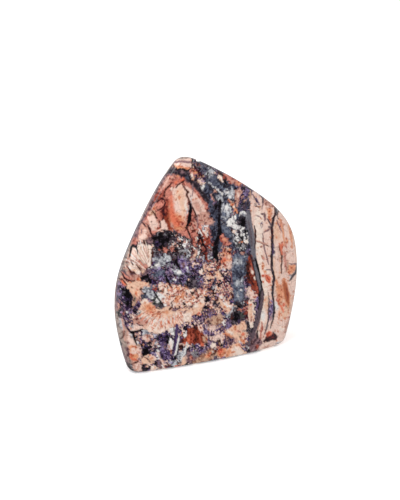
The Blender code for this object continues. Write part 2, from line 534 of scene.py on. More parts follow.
# The cap and its dark seam at the tip, and the red jasper with its pale oval.
TIP_AND_JASPER = [
    Patch("salmon", "100 150,182 150,192 168,200 190,207 205,212 236,186 238,172 230,152 235,130 246,"
        "100 250", 2),
    Patch("dusk", "160 165,176 166,188 170,196 178,204 190,208 203,203 200,196 189,184 181,176 175,"
        "164 176", 1),
    Patch("blush", "176 160,182 155,191 156,192 168,186 170,176 169,172 165"),
    Patch("taupe", "177 159,182 154,192 155,192 158,181 160", 0.9),
    Vein("mauve", "175 161.6 1.6,182 161.8 2,188 162.2 2,191 162 1.4", 0.7),
    Patch("apricot", "174 165,182 166,190 167,190 170,186 171,181 168,176 170"),
    Vein("ink", "173.5 165 0.8,175 168 1.6,177 170 1.4,180 168.6 1.2,184 169.6 2,187 171 1.2,191 168.4 0.8"),
    Vein("coal", "160 173 4,168 171 5,174 171.5 3.5,180 174 2"),
    Vein("coal", "186 179 1.2,192 183 3,197 187 4.5,202 193 5,207 200 5", 0.8),
    Spot("ink", 177, 173, 1.2, 2.2, 0.5, 20), Vein("coal", "186 172 1,189 176 1.4,191 180 1.6,194 182 1.2"),
    Spot("mauve", 182, 172, 2.6, 1.6, 0.8, 20), Spot("slate", 188, 178, 2.6, 1.6, 0.8, 50),
    Vein("ink", "191.6 156.4 1,192.2 160 1.7,192 164 1.5,192.6 168 1.2"),
    Spot("pearl", 193.4, 160.4, 0.8, 1.6), Spot("ash", 197, 167, 1.6, 2.4, 0.8, -20),
    Patch("ash", "198 162,203 161,212 166,214 172,209 178,204 174,199 168", 1),
    Spot("rust", 199, 165, 1, 2.1, 0.5, -25),
    Vein("maroon", "194 166 1,196.5 170 1.8,199 173.6 2,202 177 2"), Spot("ink", 199, 169, 1.3, 1.6),
    Spot("apricot", 195, 172, 1.4, 3, 0.5, -28), Spot("umber", 193, 171, 1.8, 0.9, 0.5, 30),
    Spot("ink", 190, 177, 0.9, 2.4, 0.5, -20), Spot("cream", 192, 175, 1.2, 2, 0.5, -25),
    Spot("peach", 193, 178, 0.9, 2, 0.5, -10), Spot("apricot", 191.8, 180, 1.3, 0.7),
    Spot("tan", 201, 177, 1.4, 1.2), Spot("ink", 197, 181, 1.2, 2.2, 0.5, -40),
    Spot("tan", 199, 182, 1.6, 1, 0.5, 50), Vein("blush", "199 181 1.2,202 182.6 1.6,204 183.4 1"),
    Patch("white", "201 189,201 186,203 184,205 185,204 189,202 190", 0.5),
    Spot("dusk", 201.6, 186.6, 0.7, 1),
    Patch("rose", "160 180,166 176,170 178,169 184,164 188,158 190", 1.2),
    # A mauve strip along the upper left edge: partly the rock's colour, partly painted reflection of the
    # white surroundings where the edge turns away.
    Patch("mauve", "172 162,176 160,168 174,160 188,150 208,136 238,130 238,150 195,164 168", 1.2),
    Spot("coral", 182, 180, 2.6, 1.4, 0.8, -20), Spot("apricot", 177, 176, 1.4, 1.2, 0.8),
    Spot("rose", 173, 178, 1.8, 2.4, 1, 30), Spot("coral", 176, 182, 2.2, 1, 0.6, -30),
    Patch("blush", "174 188,178 184,184 185,186 190,187 200,186 210,186 222,180 216,172 210,170 202,"
        "172 194", 1.2),
    Patch("peach", "176 190,180 186,184 190,185 198,182 206,178 204,175 198", 3),
    Patch("blush", "185 186,192 187,194 193,202 198,206 206,206 222,198 220,190 204,187 196", 1.4),
    Patch("salmon", "184 182,191 184,198 191,204 197,207 205,208 212,205 208,201 200,195 192,188 186", 0.9),
    Spot("brick", 199, 196, 1.2, 2, 0.8, -30), Spot("rose", 197, 206, 3.2, 6, 2, -20),
    Spot("pearl", 191, 199, 0.9, 4.4, 0.8, -8), Spot("pearl", 189, 206, 0.8, 3, 0.8),
    Patch("brick", "162 206,166 200,171 200,170 208,172 216,172 227,168 229,162 222,160 214", 1.6),
    Patch("rust", "166 212,169 211,172 218,174 225,170 229,166 222", 2.2),
    Patch("brick", "154 196,160 191,163 195,158 200,153 202", 0.9), Spot("cream", 172, 189, 1.2, 2, 0.7, 20),
    Spot("blush", 176, 206, 3.4, 6, 2.4), Spot("tan", 170, 206, 1.6, 2.6, 1),
    Patch("apricot", "171 214,178 213,184 217,186 224,184 229,178 231,172 228,170 220", 3),
    Spot("coral", 176, 219, 3.4, 2.4, 2.2, 20), Spot("coral", 178, 224, 3, 2.4, 1.8, 20),
    Spot("rose", 172, 225, 1.8, 3, 1), Spot("salmon", 183, 224, 2.6, 2.6, 1.8),
    Spot("peach", 183, 210, 2, 8, 1.4), Vein("coral", "171.6 196 1,171.6 206 3,172.6 216 4,175 224 3", 2.6),
    Spot("cream", 186, 206, 1.4, 6, 0.8), Spot("white", 187, 211, 0.8, 2.6, 0.6),
    Patch("blush", "160 222,164 219,168 229,162 231,158 230"),
    Vein("maroon", "166 206 0.8,162.6 211 2.2,164.6 216.6 3,162 220 1"),
    Vein("rust", "165 217 2.4,167.6 222 2.8,169.6 227 2.4,172.6 228.6 0.8", 0.6),
    Spot("ink", 165, 216, 0.9, 1.4),
    Vein("umber", "171.4 183.4 0.8,168 187 1.6,165.4 189.8 1.4,164.6 194 1.4,164.4 197 1.8"),
    Vein("maroon", "152 204 0.8,155 202.4 1.6,159 200.4 1.8,161.6 198.4 2,164 199.6 1.4,165 203 1.2,"
        "163.4 206.4 1.4,161 209.4 1.4,157.6 210 0.8"),
    Vein("umber", "183.6 181.4 0.8,181 182.8 1.4,178 185 1.5,175.4 187.6 0.8"),
    Vein("umber", "182 184.8 0.6,184.4 187.4 1.2,186.6 191.4 1.8,188.4 192 2"),
    Vein("umber", "186.8 190 1.2,186.8 195 1.4,188.6 200.4 1.6,190.8 204.8 2,193 209 1.5,195 213.4 1.2,"
        "196.4 217 1.4", 0.6),
    Vein("mauve", "192.8 184 1.4,193.2 189 0.9,192.4 196 0.7"),
    Vein("dusk", "191 203 1.4,190.8 207 3,190.4 210 2.4", 0.7),
    Vein("ink", "190.6 204 1.4,190.4 209 3,190 214 3.2,189.2 219 3.8,188 223 2.6,186.8 226 1.6,"
        "186.2 229 0.9"),
    Spot("dusk", 196, 221, 1.7, 2, 0.8), Spot("ink", 195, 218, 1.1, 1.4),
    Vein("mauve", "197.4 215 0.9,198 222 1,197.6 228 1.2", 0.6), Spot("salmon", 206, 206, 1.6, 5, 1, -12),
    Spot("umber", 207, 212, 0.9, 1.6),
    Patch("rose", "199 213,206 211,212 218,214 225,208 224,200 224,198 218", 1),
    Spot("coal", 206, 223, 1, 1.1), Patch("mauve", "150 196,154 194,154 206,149 211,146 214,148 206", 0.9),
    Spot("umber", 153, 202, 1.2, 1.4), Spot("tan", 153, 213, 3.6, 2.8, 1.2, 40),
    Spot("apricot", 154, 208, 2, 1.4, 0.8),
    Patch("blush", "148 217,153 215,158 221,158 230,152 231,149 226", 1.2),
    Vein("umber", "152 210.6 0.7,154.4 214 1.4,157 217.8 2"), Spot("maroon", 151.4, 221.4, 0.7, 1),
    Patch("rose", "141 224,147 220,149 228,150 238,141 242,136 240", 1),
    Spot("blush", 145, 231, 2, 1.8, 0.8), Patch("blush", "140 236,144 233,148 236,144 240,139 240"),
    Vein("maroon", "142 222 0.8,144 224.2 1.6,145.8 226.2 0.8"),
    Vein("maroon", "147.6 224.6 0.8,149 228 1.7,150 231.6 1.8,151.8 234.6 1.8"),
    Vein("mauve", "141.6 228.6 0.8,141.4 233 1.2"), Vein("mauve", "139 233 0.8,137 236 1,137.8 239 0.8"),
    Spot("brick", 159, 228, 2, 1.2, 0.6, -30), Vein("umber", "159.4 221 1.4,160.6 224 1,159.6 227.4 1.2"),
]

# The slate band that comes down from the tip, with pale flecks and a hollow whose dark inside is painted
# shade.
SLATE_BAND = [
    Patch("slate", "197 158,204 161,226 173,246 184,262 200,257 230,254 252,247 262,243 300,240 345,226 340,"
        "222 300,218 262,213 246,211 230,207 204,202 192,206 180"),
    Patch("coal", "204 160,216 166,216 171,208 169,203 165"),
    Patch("plum", "212 167,220 171,219 175,213 173", 0.6),
    Patch("umber", "218 171,226 174,223 177,218 175", 0.6),
    Patch("pearl", "205 172,210 168,214 170,213 177,208 178,205 176"), Spot("white", 212, 173, 1.2, 1),
    Vein("ink", "206.6 170 1,208 173 1.6,207.6 177 1.2,209 179 0.8"),
    Spot("coal", 210.6, 175.4, 0.8, 1.6, 0.5, 30), Spot("rose", 216.4, 174.6, 1, 0.8),
    Patch("salmon", "223 173,232 175,243 182,246 186,238 186,230 182,225 178", 0.7),
    Spot("brick", 224, 177, 1.6, 1.1, 0.4), Spot("rose", 234, 182, 3.6, 1.4, 0.8, 28),
    Spot("apricot", 239, 183, 2.6, 1.2, 0.7, 32),
    Vein("cream", "218.6 175.6 1.4,221 178 2.4,223.6 182.4 1.2"), Spot("tan", 221, 180, 0.9, 1.6, 0.5, -30),
    Patch("ink", "224 178,226 178,227 182,231 184,229 188,226 185,224 182", 0.5),
    Spot("ink", 232, 187, 1, 0.9), Vein("steel", "213 179 1.2,217 182.4 2,221.6 186 1.4", 0.8),
    Vein("steel", "218 184 0.8,223 189 1.6,226 192 0.8", 0.7),
    Vein("ink", "217 180 1,221 184 1.8,226 188.4 2,229 189 1.2", 0.8),
    Vein("ink", "209 184 1,213 187 1.6,217 190.6 1.8,222 194 1.4", 0.8),
    Vein("coal", "206 176 1.4,209 183 2,212 190 2,214 198 2,216 206 2.4", 0.9),
    Spot("lavender", 238, 187, 1.4, 1),
    Patch("plum", "238 185,244 184,249 189,248 200,243 204,239 198,238 190", 1),
    Spot("ink", 242, 189, 1.2, 2.2, 0.5, 20), Spot("ink", 245, 190, 0.9, 4.4, 0.5, -5),
    Patch("rose", "233 190,240 190,241 195,240 205,237 205,236 198", 0.6),
    Spot("blush", 238, 195, 1.4, 3, 0.6, -12),
    Patch("pearl", "224 190,230 189,234 192,234 198,229 199,226 195", 0.7),
    Patch("white", "225 191,228 191,228 193,226 193", 0.5), Spot("white", 230, 196, 1.2, 1.2),
    Spot("ink", 227, 195, 1, 0.9), Spot("ink", 225, 196, 1.2, 1.2), Spot("pearl", 220, 199, 4, 3, 1.2, 30),
    Spot("steel", 221, 193, 2, 1.4, 0.8, 30), Spot("ink", 222, 193, 0.9, 1.6, 0.5, 20),
    Vein("rose", "210.4 194 1,213 199 1.8,215.4 205 1.6,216 208 0.8"), Spot("rose", 215, 191, 1.4, 1.2),
    Vein("ink", "214.6 193 0.8,216 198 1.2,217.4 203 1"),
    Vein("lavender", "247 188 1,247.6 194 2.2,247 200 1", 0.6),
    Vein("tan", "250.4 190 1.2,250.8 196 1.4,250.4 200 0.8", 0.6),
    Patch("violet", "252 188,255 190,255 197,252 200", 0.6),
    Mix("slate coal plum lavender slate violet slate", "240 197,250 200,253 204,252 222,247 224,241 214,"
        "239 204", 1.2),
    Spot("dusk", 244, 206, 2, 3, 1), Vein("ink", "251 202 1,250.2 211 1.5,250.2 220 1.4"),
    Spot("tan", 245, 200, 1.2, 0.9),
    Patch("pearl", "221 205,225 204,229 205,231 210,229 217,224 220,221 215,220 209", 1),
    Spot("white", 227, 208, 2, 2.4, 1.2), Spot("steel", 224, 214, 1.8, 2.4, 0.9),
    Spot("white", 231, 212, 0.9, 1.2), Patch("plum", "231 212,234 211,235 216,232 218", 0.6),
    Vein("pearl", "207.6 181 0.6,212.4 185.4 1.2,217.6 189 0.8"),
    Vein("white", "213.6 186.6 0.5,218.4 190.4 1,223 195 0.6"),
    Vein("pearl", "227 184.6 0.6,232.6 189 1.2,236 193.4 0.7"),
    Vein("lavender", "211 197 0.6,214.6 202.6 1.2,217.6 209 0.7"),
    Vein("cream", "229.6 199.4 0.6,233.4 204 1,236.4 209 0.6"),
    Vein("apricot", "228.4 199 1.4,231.4 203 1.8,234 207 2,236.6 210.6 1.8,237.4 213.4 1.2", 0.5),
    Spot("cream", 234, 207, 1.1, 1.6, 0.5, -30), Spot("coal", 231.4, 202.4, 1.2, 0.7, 0.5, 30),
    Spot("coal", 234, 201, 1.6, 1.2, 0.5, 30), Spot("white", 235, 217, 1.5, 2.2, 0.5, -20),
    Patch("white", "227 222,229 218,233 218,235 222,237 225,241 228,243 226,241 230,236 229,231 227,"
        "228 225", 0.6),
    Spot("ash", 232, 223, 1.6, 1.6, 0.8, 20), Vein("pearl", "222.6 224 1.4,226.4 227.4 1.6"),
    Spot("coal", 223, 222, 1.4, 1, 0.5, 20),
    Patch("pearl", "239 214,241 211,244 211,247 214,247 219,244 216,241 215", 0.6),
    # The hollow's dark inside, coal and ink, is painted shade for a hollow that the mesh does not have.
    Patch("coal", "240 217,243 214,246 219,247 223,245 227,240 226,239 221", 0.7),
    Patch("ink", "240 218,243 216,246 219,247 224,244 227,240 225", 0.4),
    Vein("white", "239.2 216 0.9,240.6 212.4 1.4,244 211.4 1.4,246.8 214.6 1.1"),
    Spot("coal", 237, 222, 2, 2.2, 0.6),
    Patch("steel", "223 225,228 227,232 232,231 237,226 234,222 231", 1),
    Spot("ink", 216, 207, 1.8, 4.4, 1, -8), Spot("rose", 211, 221, 2.6, 3.4, 0.8),
    Patch("cream", "233 230,237 229,237 233,234 234", 0.5), Spot("umber", 232, 230, 1.4, 1),
    Patch("salmon", "218 236,221 234,224 234,226 238,229 241,230 244,226 246,223 245,221 240", 0.7),
    Vein("brick", "219 236.6 1.8,221.6 240 2.2,223.4 243.6 1.4", 0.7),
    Spot("apricot", 225, 240, 1, 2.4, 0.6, -35),
    Vein("ink", "230.8 232.6 0.9,232.4 238 1.4,234.6 243.4 1.2"),
    Vein("pearl", "232 235 1,233.8 240 1.4,235.4 244.6 1"),
    Mix("ash ink white coal pearl moss dusk ash", "235 229,243 227,248 230,249 240,246 249,238 250,235 243,"
        "235 235", 0.9),
    Spot("ink", 239, 232, 1.4, 1.7), Spot("ink", 245, 232, 1.2, 1.2),
    Spot("ink", 242, 238, 2.2, 1.6, 0.5, 20), Spot("white", 242, 235, 0.9, 0.9),
    Spot("white", 238, 240, 1.3, 1, 0.5, 20), Spot("white", 236, 232.4, 0.8, 0.8),
    Spot("pearl", 242, 246, 1.1, 1.8, 0.4), Spot("apricot", 242, 242, 1.3, 0.9),
    Spot("cream", 246, 241, 1.1, 1), Spot("rose", 242, 253, 1.4, 1),
]

# The cream bands on the right, with their dark veins and rusty stains.
PALE_BANDS = [
    Patch("blush", "250 200,254 190,262 198,276 206,290 220,300 245,300 290,292 330,283 346,262 352,254 348,"
        "256 330,262 290,257 262,252 245"),
    Patch("cream", "255 214,258 208,263 214,263 232,265 246,268 262,270 275,266 300,264 330,256 338,259 310,"
        "262 285,258 262,254 244,254 228", 1.2),
    Patch("rose", "263 198,272 203,275 207,270 207,264 204"), Spot("apricot", 271, 210, 1.8, 2.2, 1),
    Patch("apricot", "266 208,272 210,271 222,268 222", 1.4), Spot("cream", 267, 214, 1.2, 4, 0.8),
    Patch("peach", "274 224,278 222,281 240,281 262,279 285,277 300,274 280,273 250", 1.6),
    Patch("blush", "275 240,279 240,280 262,278 284,275 272", 1.6), Spot("pearl", 274, 250, 1, 6, 0.8),
    Patch("peach", "285 212,291 222,297 242,300 262,296 262,292 240,286 228", 1.2),
    Patch("blush", "284 216,287 218,288 240,285 250,283 236", 1.6),
    Vein("apricot", "279.6 218 0.8,282 226 1.4,283.6 236 1.6,284.4 246 0.8", 0.9),
    Vein("apricot", "288.4 224 0.6,291 236 1.6,292.4 248 1.2", 1),
    Vein("peach", "293.4 234 1,296.4 248 2.2,298 262 1.2", 1),
    Patch("blush", "288 240,294 242,296 262,289 264,287 252", 1.4),
    Patch("apricot", "288 265,295 265,296 270,292 273,289 275,287 270", 0.9),
    Vein("mauve", "289.6 263.8 0.7,293 264 1.1,297.6 264 1.2", 0.5), Spot("salmon", 281, 225, 2, 3, 1.2),
    Spot("apricot", 277, 223, 1.6, 1.8, 0.8), Spot("apricot", 280, 220, 1.5, 1.4, 0.8),
    Spot("apricot", 287, 241, 1.4, 3.2, 0.9, -10), Spot("salmon", 286, 246, 1, 2.6, 0.8, -20),
    Spot("coral", 282, 245, 1.3, 3, 0.8), Spot("rose", 285, 254, 1.4, 3.6, 0.9, -12),
    Patch("salmon", "283 252,286 256,287 268,286 272,284 262", 1.4), Spot("salmon", 286, 269, 1.2, 2.4, 0.8),
    Vein("tan", "287.6 262 1,288 268 1.2,286.6 271.6 0.8", 0.7),
    Vein("ash", "277.6 207.6 3.4,276.4 211.4 2.8,276 214 1.8", 0.7),
    Vein("umber", "274.6 204.6 0.8,274.8 210 0.9,274.4 214 0.9"),
    Vein("umber", "280 208 0.6,278.2 212 0.9,277 215 0.9,278.4 219 0.8"),
    Vein("maroon", "276.2 212 1.2,274.6 216 2,273.2 219 2.6,272.4 223 2.8,271.8 228 2.8,272.4 233 2.6,"
        "272 240 2.4,272 246 2.6,272.2 252 2.8,271.8 258 2.6,271.8 264 2.4,272 268 2.4,272.6 272 2.4,"
        "273.6 276 2.2,274 279.4 2.2,273.2 284 2,272.6 290 2.2"),
    Vein("coal", "273.4 218 1.4,272.4 223 1.6,272 229 1.2"),
    Vein("coal", "272.2 236 1.2,272.2 246 1.5,272 258 1.6,272.4 270 1.6,273.6 278 1.4,272.8 290 1.2"),
    Vein("violet", "272.8 244 0.7,273 250 0.9,272.8 255 0.6"),
    Vein("mauve", "276.6 220.6 0.7,278.4 225 1,280.4 229 1,282 232.4 0.6"),
    Vein("umber", "279 246 0.8,280.4 250 1.8,281.4 254 1.8,281.8 260 1.2,281.6 268 1,281.8 274 0.8", 0.6),
    Vein("coral", "279.6 244 1.2,281 248 2.2,282 254 1.6", 0.8),
    Vein("mauve", "262.8 196 1,263.2 200 1.6,262.6 205 1.2,262 209 0.6"),
    Vein("coal", "263 197 0.7,263.2 202 1.3"), Vein("violet", "256 198 1,257.6 201 1.4,259.4 204.6 1.2"),
    Spot("violet", 258, 208, 2.2, 1.8, 0.7, 30), Vein("plum", "252.6 195 1,255 198.6 1.2,257.6 203 1"),
    Spot("tan", 260, 207, 1.4, 1.3, 0.6), Spot("ash", 256, 205, 1, 2, 0.6, -20),
    Vein("mauve", "261.4 214 1.6,264.4 214 1.8,265.4 218 1.8,264.6 221 0.8", 0.6),
    Vein("coal", "261.6 213.6 0.6,264.2 213.4 1,265 216 0.8"),
    Vein("dusk", "267.4 219 0.8,269.6 223 1.6,271.4 226 1.4"), Spot("dusk", 269, 227, 1.6, 1.2),
    Spot("violet", 262, 225, 1.1, 2.6, 0.8), Vein("mauve", "270 228.6 1.2,267 231 1.4,263.6 232.4 0.8"),
    Vein("mauve", "256 215.6 0.7,258.6 216.4 1,261 217.6 0.6"),
    Vein("mauve", "262.8 234 0.7,263 240 1.2,263.4 243 2,263.8 246.6 1.4,265.6 252 1.2,267 258 1.3,"
        "268 262 1.2,269 265 0.6", 0.5),
    Vein("umber", "256.6 241.4 0.7,260.6 242.8 1,264 243.6 1,268 246 0.8"),
    Vein("rose", "257 241 1,260 242 1.6,266 244 1.6", 0.9),
    Vein("dusk", "266.4 270 0.7,269 269.4 1.2,272 270 1.2"),
    Patch("blush", "262 244,265 246,269 262,270 272,266 268,263 256"),
    Spot("salmon", 261, 247, 0.9, 1.2, 0.6), Spot("salmon", 263, 258, 1.4, 2, 0.8, -30),
    Spot("tan", 262, 256, 0.8, 1.6, 0.6), Spot("apricot", 263, 267, 1.4, 3.6, 1),
    Spot("coral", 263, 276, 2, 1.2, 0.8, 20),
    Patch("coral", "264 274,268 275,271 278,271 283,268 283,266 280", 0.9),
    Spot("apricot", 265, 272, 1.6, 1.6, 1), Spot("coral", 263, 282, 1, 1),
    Vein("apricot", "276.4 280 1.6,277.4 285 2.2,277 290 1", 0.9), Spot("coral", 277, 283, 1, 2, 0.8),
    Patch("apricot", "277 286,280 284,283 288,284 300,280 306,277 300", 1.4),
    Vein("apricot", "284 279 2.2,284.6 285 5.4,286.4 294 6.2,287.6 302 5,288.4 307 1.6", 0.9),
    Vein("amber", "284.2 281 1.4,285.2 286 4.2,286.8 294 4.8,287.8 301 3.6,288.4 305.6 1", 0.8),
    Vein("rust", "286.4 288 1,287.6 294 1.8,288.2 300 1.2", 0.7),
    Vein("ash", "289.6 275.6 0.8,293 274.4 1,296 271 0.8", 0.7),
    Vein("coal", "289.2 281 0.9,291.4 278 1.5,293 275.6 2,295.4 273.4 1.8,296.4 269 1.2,296.8 265 0.8", 0.6),
    Spot("pearl", 291, 277, 1, 0.9, 0.6), Spot("mauve", 287.6, 275, 1.6, 0.7, 0.6, 20),
    Vein("coal", "252.4 246 1.4,253.6 254 2.6,254.6 262 3.4,256 270 3.2,257.6 278 3.6,259.4 286 3.2,"
        "260.8 292 3", 0.7),
    Vein("ink", "254.4 248 0.7,255.4 256 0.9,257 263 1.2,258.6 270 1.3,260.2 278 1.4,261.4 286 1.5,"
        "262.2 292 1.4"),
    Vein("slate", "254.6 262 1,256.4 270 1.6,258.4 279 1.8,259.6 287 1.6", 0.7),
]

# The veins and slits that cross several regions and stay whole.
LONG_VEINS = [
    Vein("ink", "219.8 199 0.8,220 203.6 2.8,220 211 2.6", 0.5),
    Vein("ink", "219.6 214 1,219.2 218 2.4,219.2 226 3,220 232 3.4,218 237 3.2,216 243 4.2,215 249 5,"
        "215.4 254 5,217 258 3,217 263 1.6", 0.5),
    Vein("grey", "247.8 212 2.6,248.6 218 4.6,250 226 5,252 234 4.8,252.6 242 4.6,253 250 4.4,"
        "254.4 258 3.8", 0.8),
    Vein("dusk", "248.4 222 1,250.4 230 1.4,251.6 238 1.4,251.8 246 1", 1.2),
    Vein("maroon", "254.6 226 0.8,255.6 233 1.6,255.4 240 1.4,255 248 1", 0.5),
    Vein("coal", "248.4 250 0.8,250.6 256 1.2,252.4 262 1.4,254.6 270 1.4,256.6 279 1.4,258.4 287 1.4", 0.5),
    Vein("grey", "255 262 2.6,256.6 270 3,258.4 278 3.2,260.2 286 3,261.6 294 3", 0.6),
    Vein("dusk", "261.4 292 3,262.2 300 3.4,261 306 3.6,259.4 312 4.2,258.2 318 4.4,256.8 324 4,"
        "254.4 331 3.6,252 338 3.6", 0.6),
    Vein("coal", "272.4 286 1.8,272.8 296 1.7,273.8 304 1.9,273.8 312 1.9,272.6 320 1.5,270.6 328 1", 0.5),
    Vein("dusk", "268.8 299 0.9,268.6 310 1.5,268.4 320 1.5,266.6 328 1.4,264.6 334 1.1", 0.5),
    Vein("ink", "254.8 258 1.2,257 266 1.4,259.4 274 1.5,261 282 1.6,262 290 1.4", 0.5),
    Vein("coal", "276.4 206 1,275.8 212 1.2", 0.5),
    Vein("ink", "260.8 290 1.2,259.8 297 1.4,259.8 303 1.2,258 309 1", 0.5),
    Vein("ink", "177.6 257.6 1,175.6 261.6 3.2,177.6 265 2.8,179.4 268 2.2,180.8 270.4 0.9", 0.5),
    Vein("ink", "166.6 276 1.4,166.8 279.6 3.2,169 282.6 1.8,171 285 1.5,172.4 288 0.7", 0.5),
    Vein("ink", "179.8 278.6 0.8,180.8 282.6 1.8,182 286.4 1.2"),
    Vein("ink", "153.6 291 1.2,156.4 296 2,159.4 300.4 1.6,162.4 304.4 1.4,163.4 306 0.6", 0.5),
    Vein("violet", "176.8 325 2.8,176.6 333 2.8,175.6 342 3,174.2 349 3,172.8 354 2.4", 0.5),
    Vein("plum", "175.2 330 1,175 340 1.2,173.6 348 1.8,172.4 353.6 1.6", 0.5),
    Vein("white", "179 336 1,178.2 342 1.6,177 348 2,175.8 353.6 2,174.4 355.4 1"),
    Vein("white", "186.4 342.4 1,185.8 348 1.2,184.4 353 1.2,181 359.6 1", 0.5),
    Vein("coal", "178.6 345 0.8,177.8 350 1.2,177 355 1"),
]

# The dark dome under the oval, and the streaked cream fan on its left.
DOME_AND_FAN = [
    Mix("coal ink coal umber ink dusk ash coal", "126 246,138 244,152 236,158 231,165 229,172 230,176 232,"
        "182 236,186 236,196 243,208 243,212 262,200 270,150 262,130 262"),
    Patch("ink", "150 243,155 235,162 232,169 232,172 236,168 243,164 250,156 248", 1.2),
    Spot("violet", 156, 244, 2.2, 2, 0.8, 30), Spot("ash", 157, 234, 1.6, 1.2, 0.7, -20),
    Spot("dusk", 173, 240, 3, 2.4, 1, 20), Spot("ash", 165, 234, 2.2, 0.9, 0.7, -10),
    Spot("mauve", 150, 241, 2.6, 3, 1),
    Mix("ash coal white ink rose mauve ash umber coal", "176 233,183 236,187 240,192 246,199 250,203 258,"
        "198 262,186 256,178 250,173 244", 1),
    Spot("white", 179.4, 248.6, 0.8, 0.8), Spot("pearl", 202, 257, 1.6, 1.2),
    Spot("ink", 174, 253, 1.8, 1.1, 0.5, -30), Spot("salmon", 190, 237, 1.2, 3.6, 0.5, -20),
    Spot("salmon", 194, 244, 1.1, 3.2, 0.5, -24), Spot("rose", 196, 252, 1.2, 3, 0.5, 10),
    Spot("brick", 193, 239, 0.9, 4, 0.5, -6), Spot("maroon", 192, 252, 1, 4.4, 0.5, 12),
    Vein("coal", "187.4 229 0.8,190 235 1.2,192.4 241 1"), Spot("peach", 195.4, 254.6, 0.8, 1.2),
    Spot("peach", 196, 239, 1, 2.4, 0.5, -20),
    Mix("umber ink maroon ash umber brick white coal", "197 231,203 234,208 244,208 266,205 264,202 256,"
        "199 250,197 242", 0.9),
    Patch("brick", "202 232,209 233,212 243,206 246", 0.9), Spot("salmon", 203, 249, 1, 2.6, 0.5, -12),
    Spot("maroon", 206, 250, 1.3, 4, 0.5, -6), Spot("rust", 206, 259, 1.1, 3.4),
    Spot("coal", 201, 254, 1.2, 1.8), Spot("ink", 196.4, 258.2, 1.8, 0.8),
    Vein("ink", "199.6 235 0.8,202 241 1.2,203.6 246 1"), Spot("ink", 203, 244, 3.6, 1.2, 0.5, 10),
    Mix("white rose blush coal white brick", "201 225,208 224,209 232,207 238,203 232,202 228", 0.6),
    Spot("pearl", 204, 229, 1.2, 2, 0.8, -20), Vein("white", "198.6 228.6 0.7,200.4 231.6 1,202 234.6 0.6"),
    Mix("rose brick salmon umber rose", "186 222,192 219,198 223,200 230,197 233,190 230", 1),
    Vein("umber", "186 227 1,188 231 1.4,190.6 234 0.9"),
    Patch("salmon", "162 246,164 248,167 248,169 250,166 253,164 253", 0.5),
    Spot("salmon", 172, 249, 1.8, 1.3), Spot("rose", 173, 246, 1.2, 1),
    Spot("brick", 159, 250, 1.1, 1.4, 0.6),
    Patch("cream", "138 248,140 244,143 243,146 246,147 250,151 250,152 256,151 264,147 269,144 265,141 260,"
        "137 257", 0.6),
    Patch("blush", "131 252,132 248,135 247,137 252,139 256,142 262,146 268,143 270,140 266,135 261,"
        "131 258", 0.6),
    *feathers("tan white rose taupe cream", 151, 272, 6, 34, 188, 264, 26),
    Patch("cream", "147 246,149 244,152 246,152 249,150 250,147 249", 0.5),
    Patch("cream", "129 264,131 262,136 264,139 268,141 271,140 274,137 274,134 271,131 270,129 267", 0.6),
    Patch("cream", "137 258,144 252,149 258,148 263,144 261,140 259", 1.6),
    Vein("blush", "139 250 0.5,142.6 256 1,146.4 262 0.6"),
    Vein("rose", "145.6 246 0.5,147.4 254 0.9,148.6 262 0.6"), Spot("peach", 134, 270, 2.4, 1.4, 0.8, 20),
    Spot("tan", 141, 249, 1, 2.6, 0.8), Spot("salmon", 146, 266, 2, 3, 0.9, -20),
    Vein("ink", "129.4 257 1.2,130.4 252 1.6,131.6 247 1.8,133.6 244.4 1.2", 0.5),
    Vein("ink", "132.4 246 1,134.6 247 1.6,136.8 248 1.2,137.4 251 1.2,137.8 254 0.6"),
    Vein("umber", "152.6 250 1,152 257 1.4,151.6 263.6 1.6"),
    Vein("salmon", "136 260 0.8,139 261.8 1.2,142.6 264.4 1.2,145.4 268 1.2"),
    Vein("umber", "130.8 261.6 0.7,133 264.6 1.3"),
    Vein("umber", "136.4 265 0.7,138.4 267.4 1.3,140.2 270 1.2"),
    Patch("rose", "130 252,131 262,129 266,129 271,141 275,140 281,128 280,117 288,112 290,120 255,"
        "128 244", 0.7),
    # A taupe strip along the left edge: partly the rock's colour, partly painted reflection of the white
    # surroundings where the edge turns away.
    Patch("taupe", "131 242,128 256,125 262,129 264,128 271,123 273,114 290,112 286,124 248"),
    Spot("ink", 127, 262, 1.3, 1.5), Spot("coal", 126, 257, 1, 1.1), Spot("umber", 123, 263, 1.2, 1.6),
    Spot("coal", 124, 269, 1.2, 1), Spot("rose", 127, 267, 2.2, 2.2, 0.8),
    Spot("dusk", 124, 272, 2, 1.6, 0.7, 30), Vein("umber", "127 266 0.8,131 272 1.6,136 274 1"),
    Spot("mauve", 132, 274, 2.6, 1.6, 0.7, 10), Spot("rose", 130.4, 271.4, 2.2, 0.8, 0.5, 10),
    Vein("dusk", "122 270 1,126 274 1.6,129.4 277.6 1.4", 0.6),
    Vein("salmon", "122 272 0.8,127 276.6 1.6,132 279 1.2", 0.5),
    Vein("maroon", "120 270.6 0.8,122.6 274.4 1.6,125 278.4 2,127.6 279.6 1.6,131.4 281 1.6,"
        "134.6 280.6 1", 0.5),
    Spot("apricot", 138, 280, 1.8, 2.6, 0.8, 10), Vein("coral", "120.6 279 1,123 282.6 2,125.8 285 1.4"),
    Vein("umber", "119 278.6 1.6,121.8 280 1.2"), Vein("umber", "122 278.4 0.8,125 282.4 1.6,127 285 0.8"),
    Patch("ink", "140 276,143 276,145 274,150 275,152 278,152 282,151 285,148 283,147 281,144 280,"
        "140 281", 0.6),
    Spot("ink", 142, 272, 1.2, 1.5), Spot("peach", 143, 272, 1, 2), Spot("mauve", 147, 272, 2.8, 1.8, 0.8),
    Spot("umber", 147, 269, 1.4, 0.9, 0.5, -20), Spot("white", 149.6, 269, 1.2, 0.8),
]

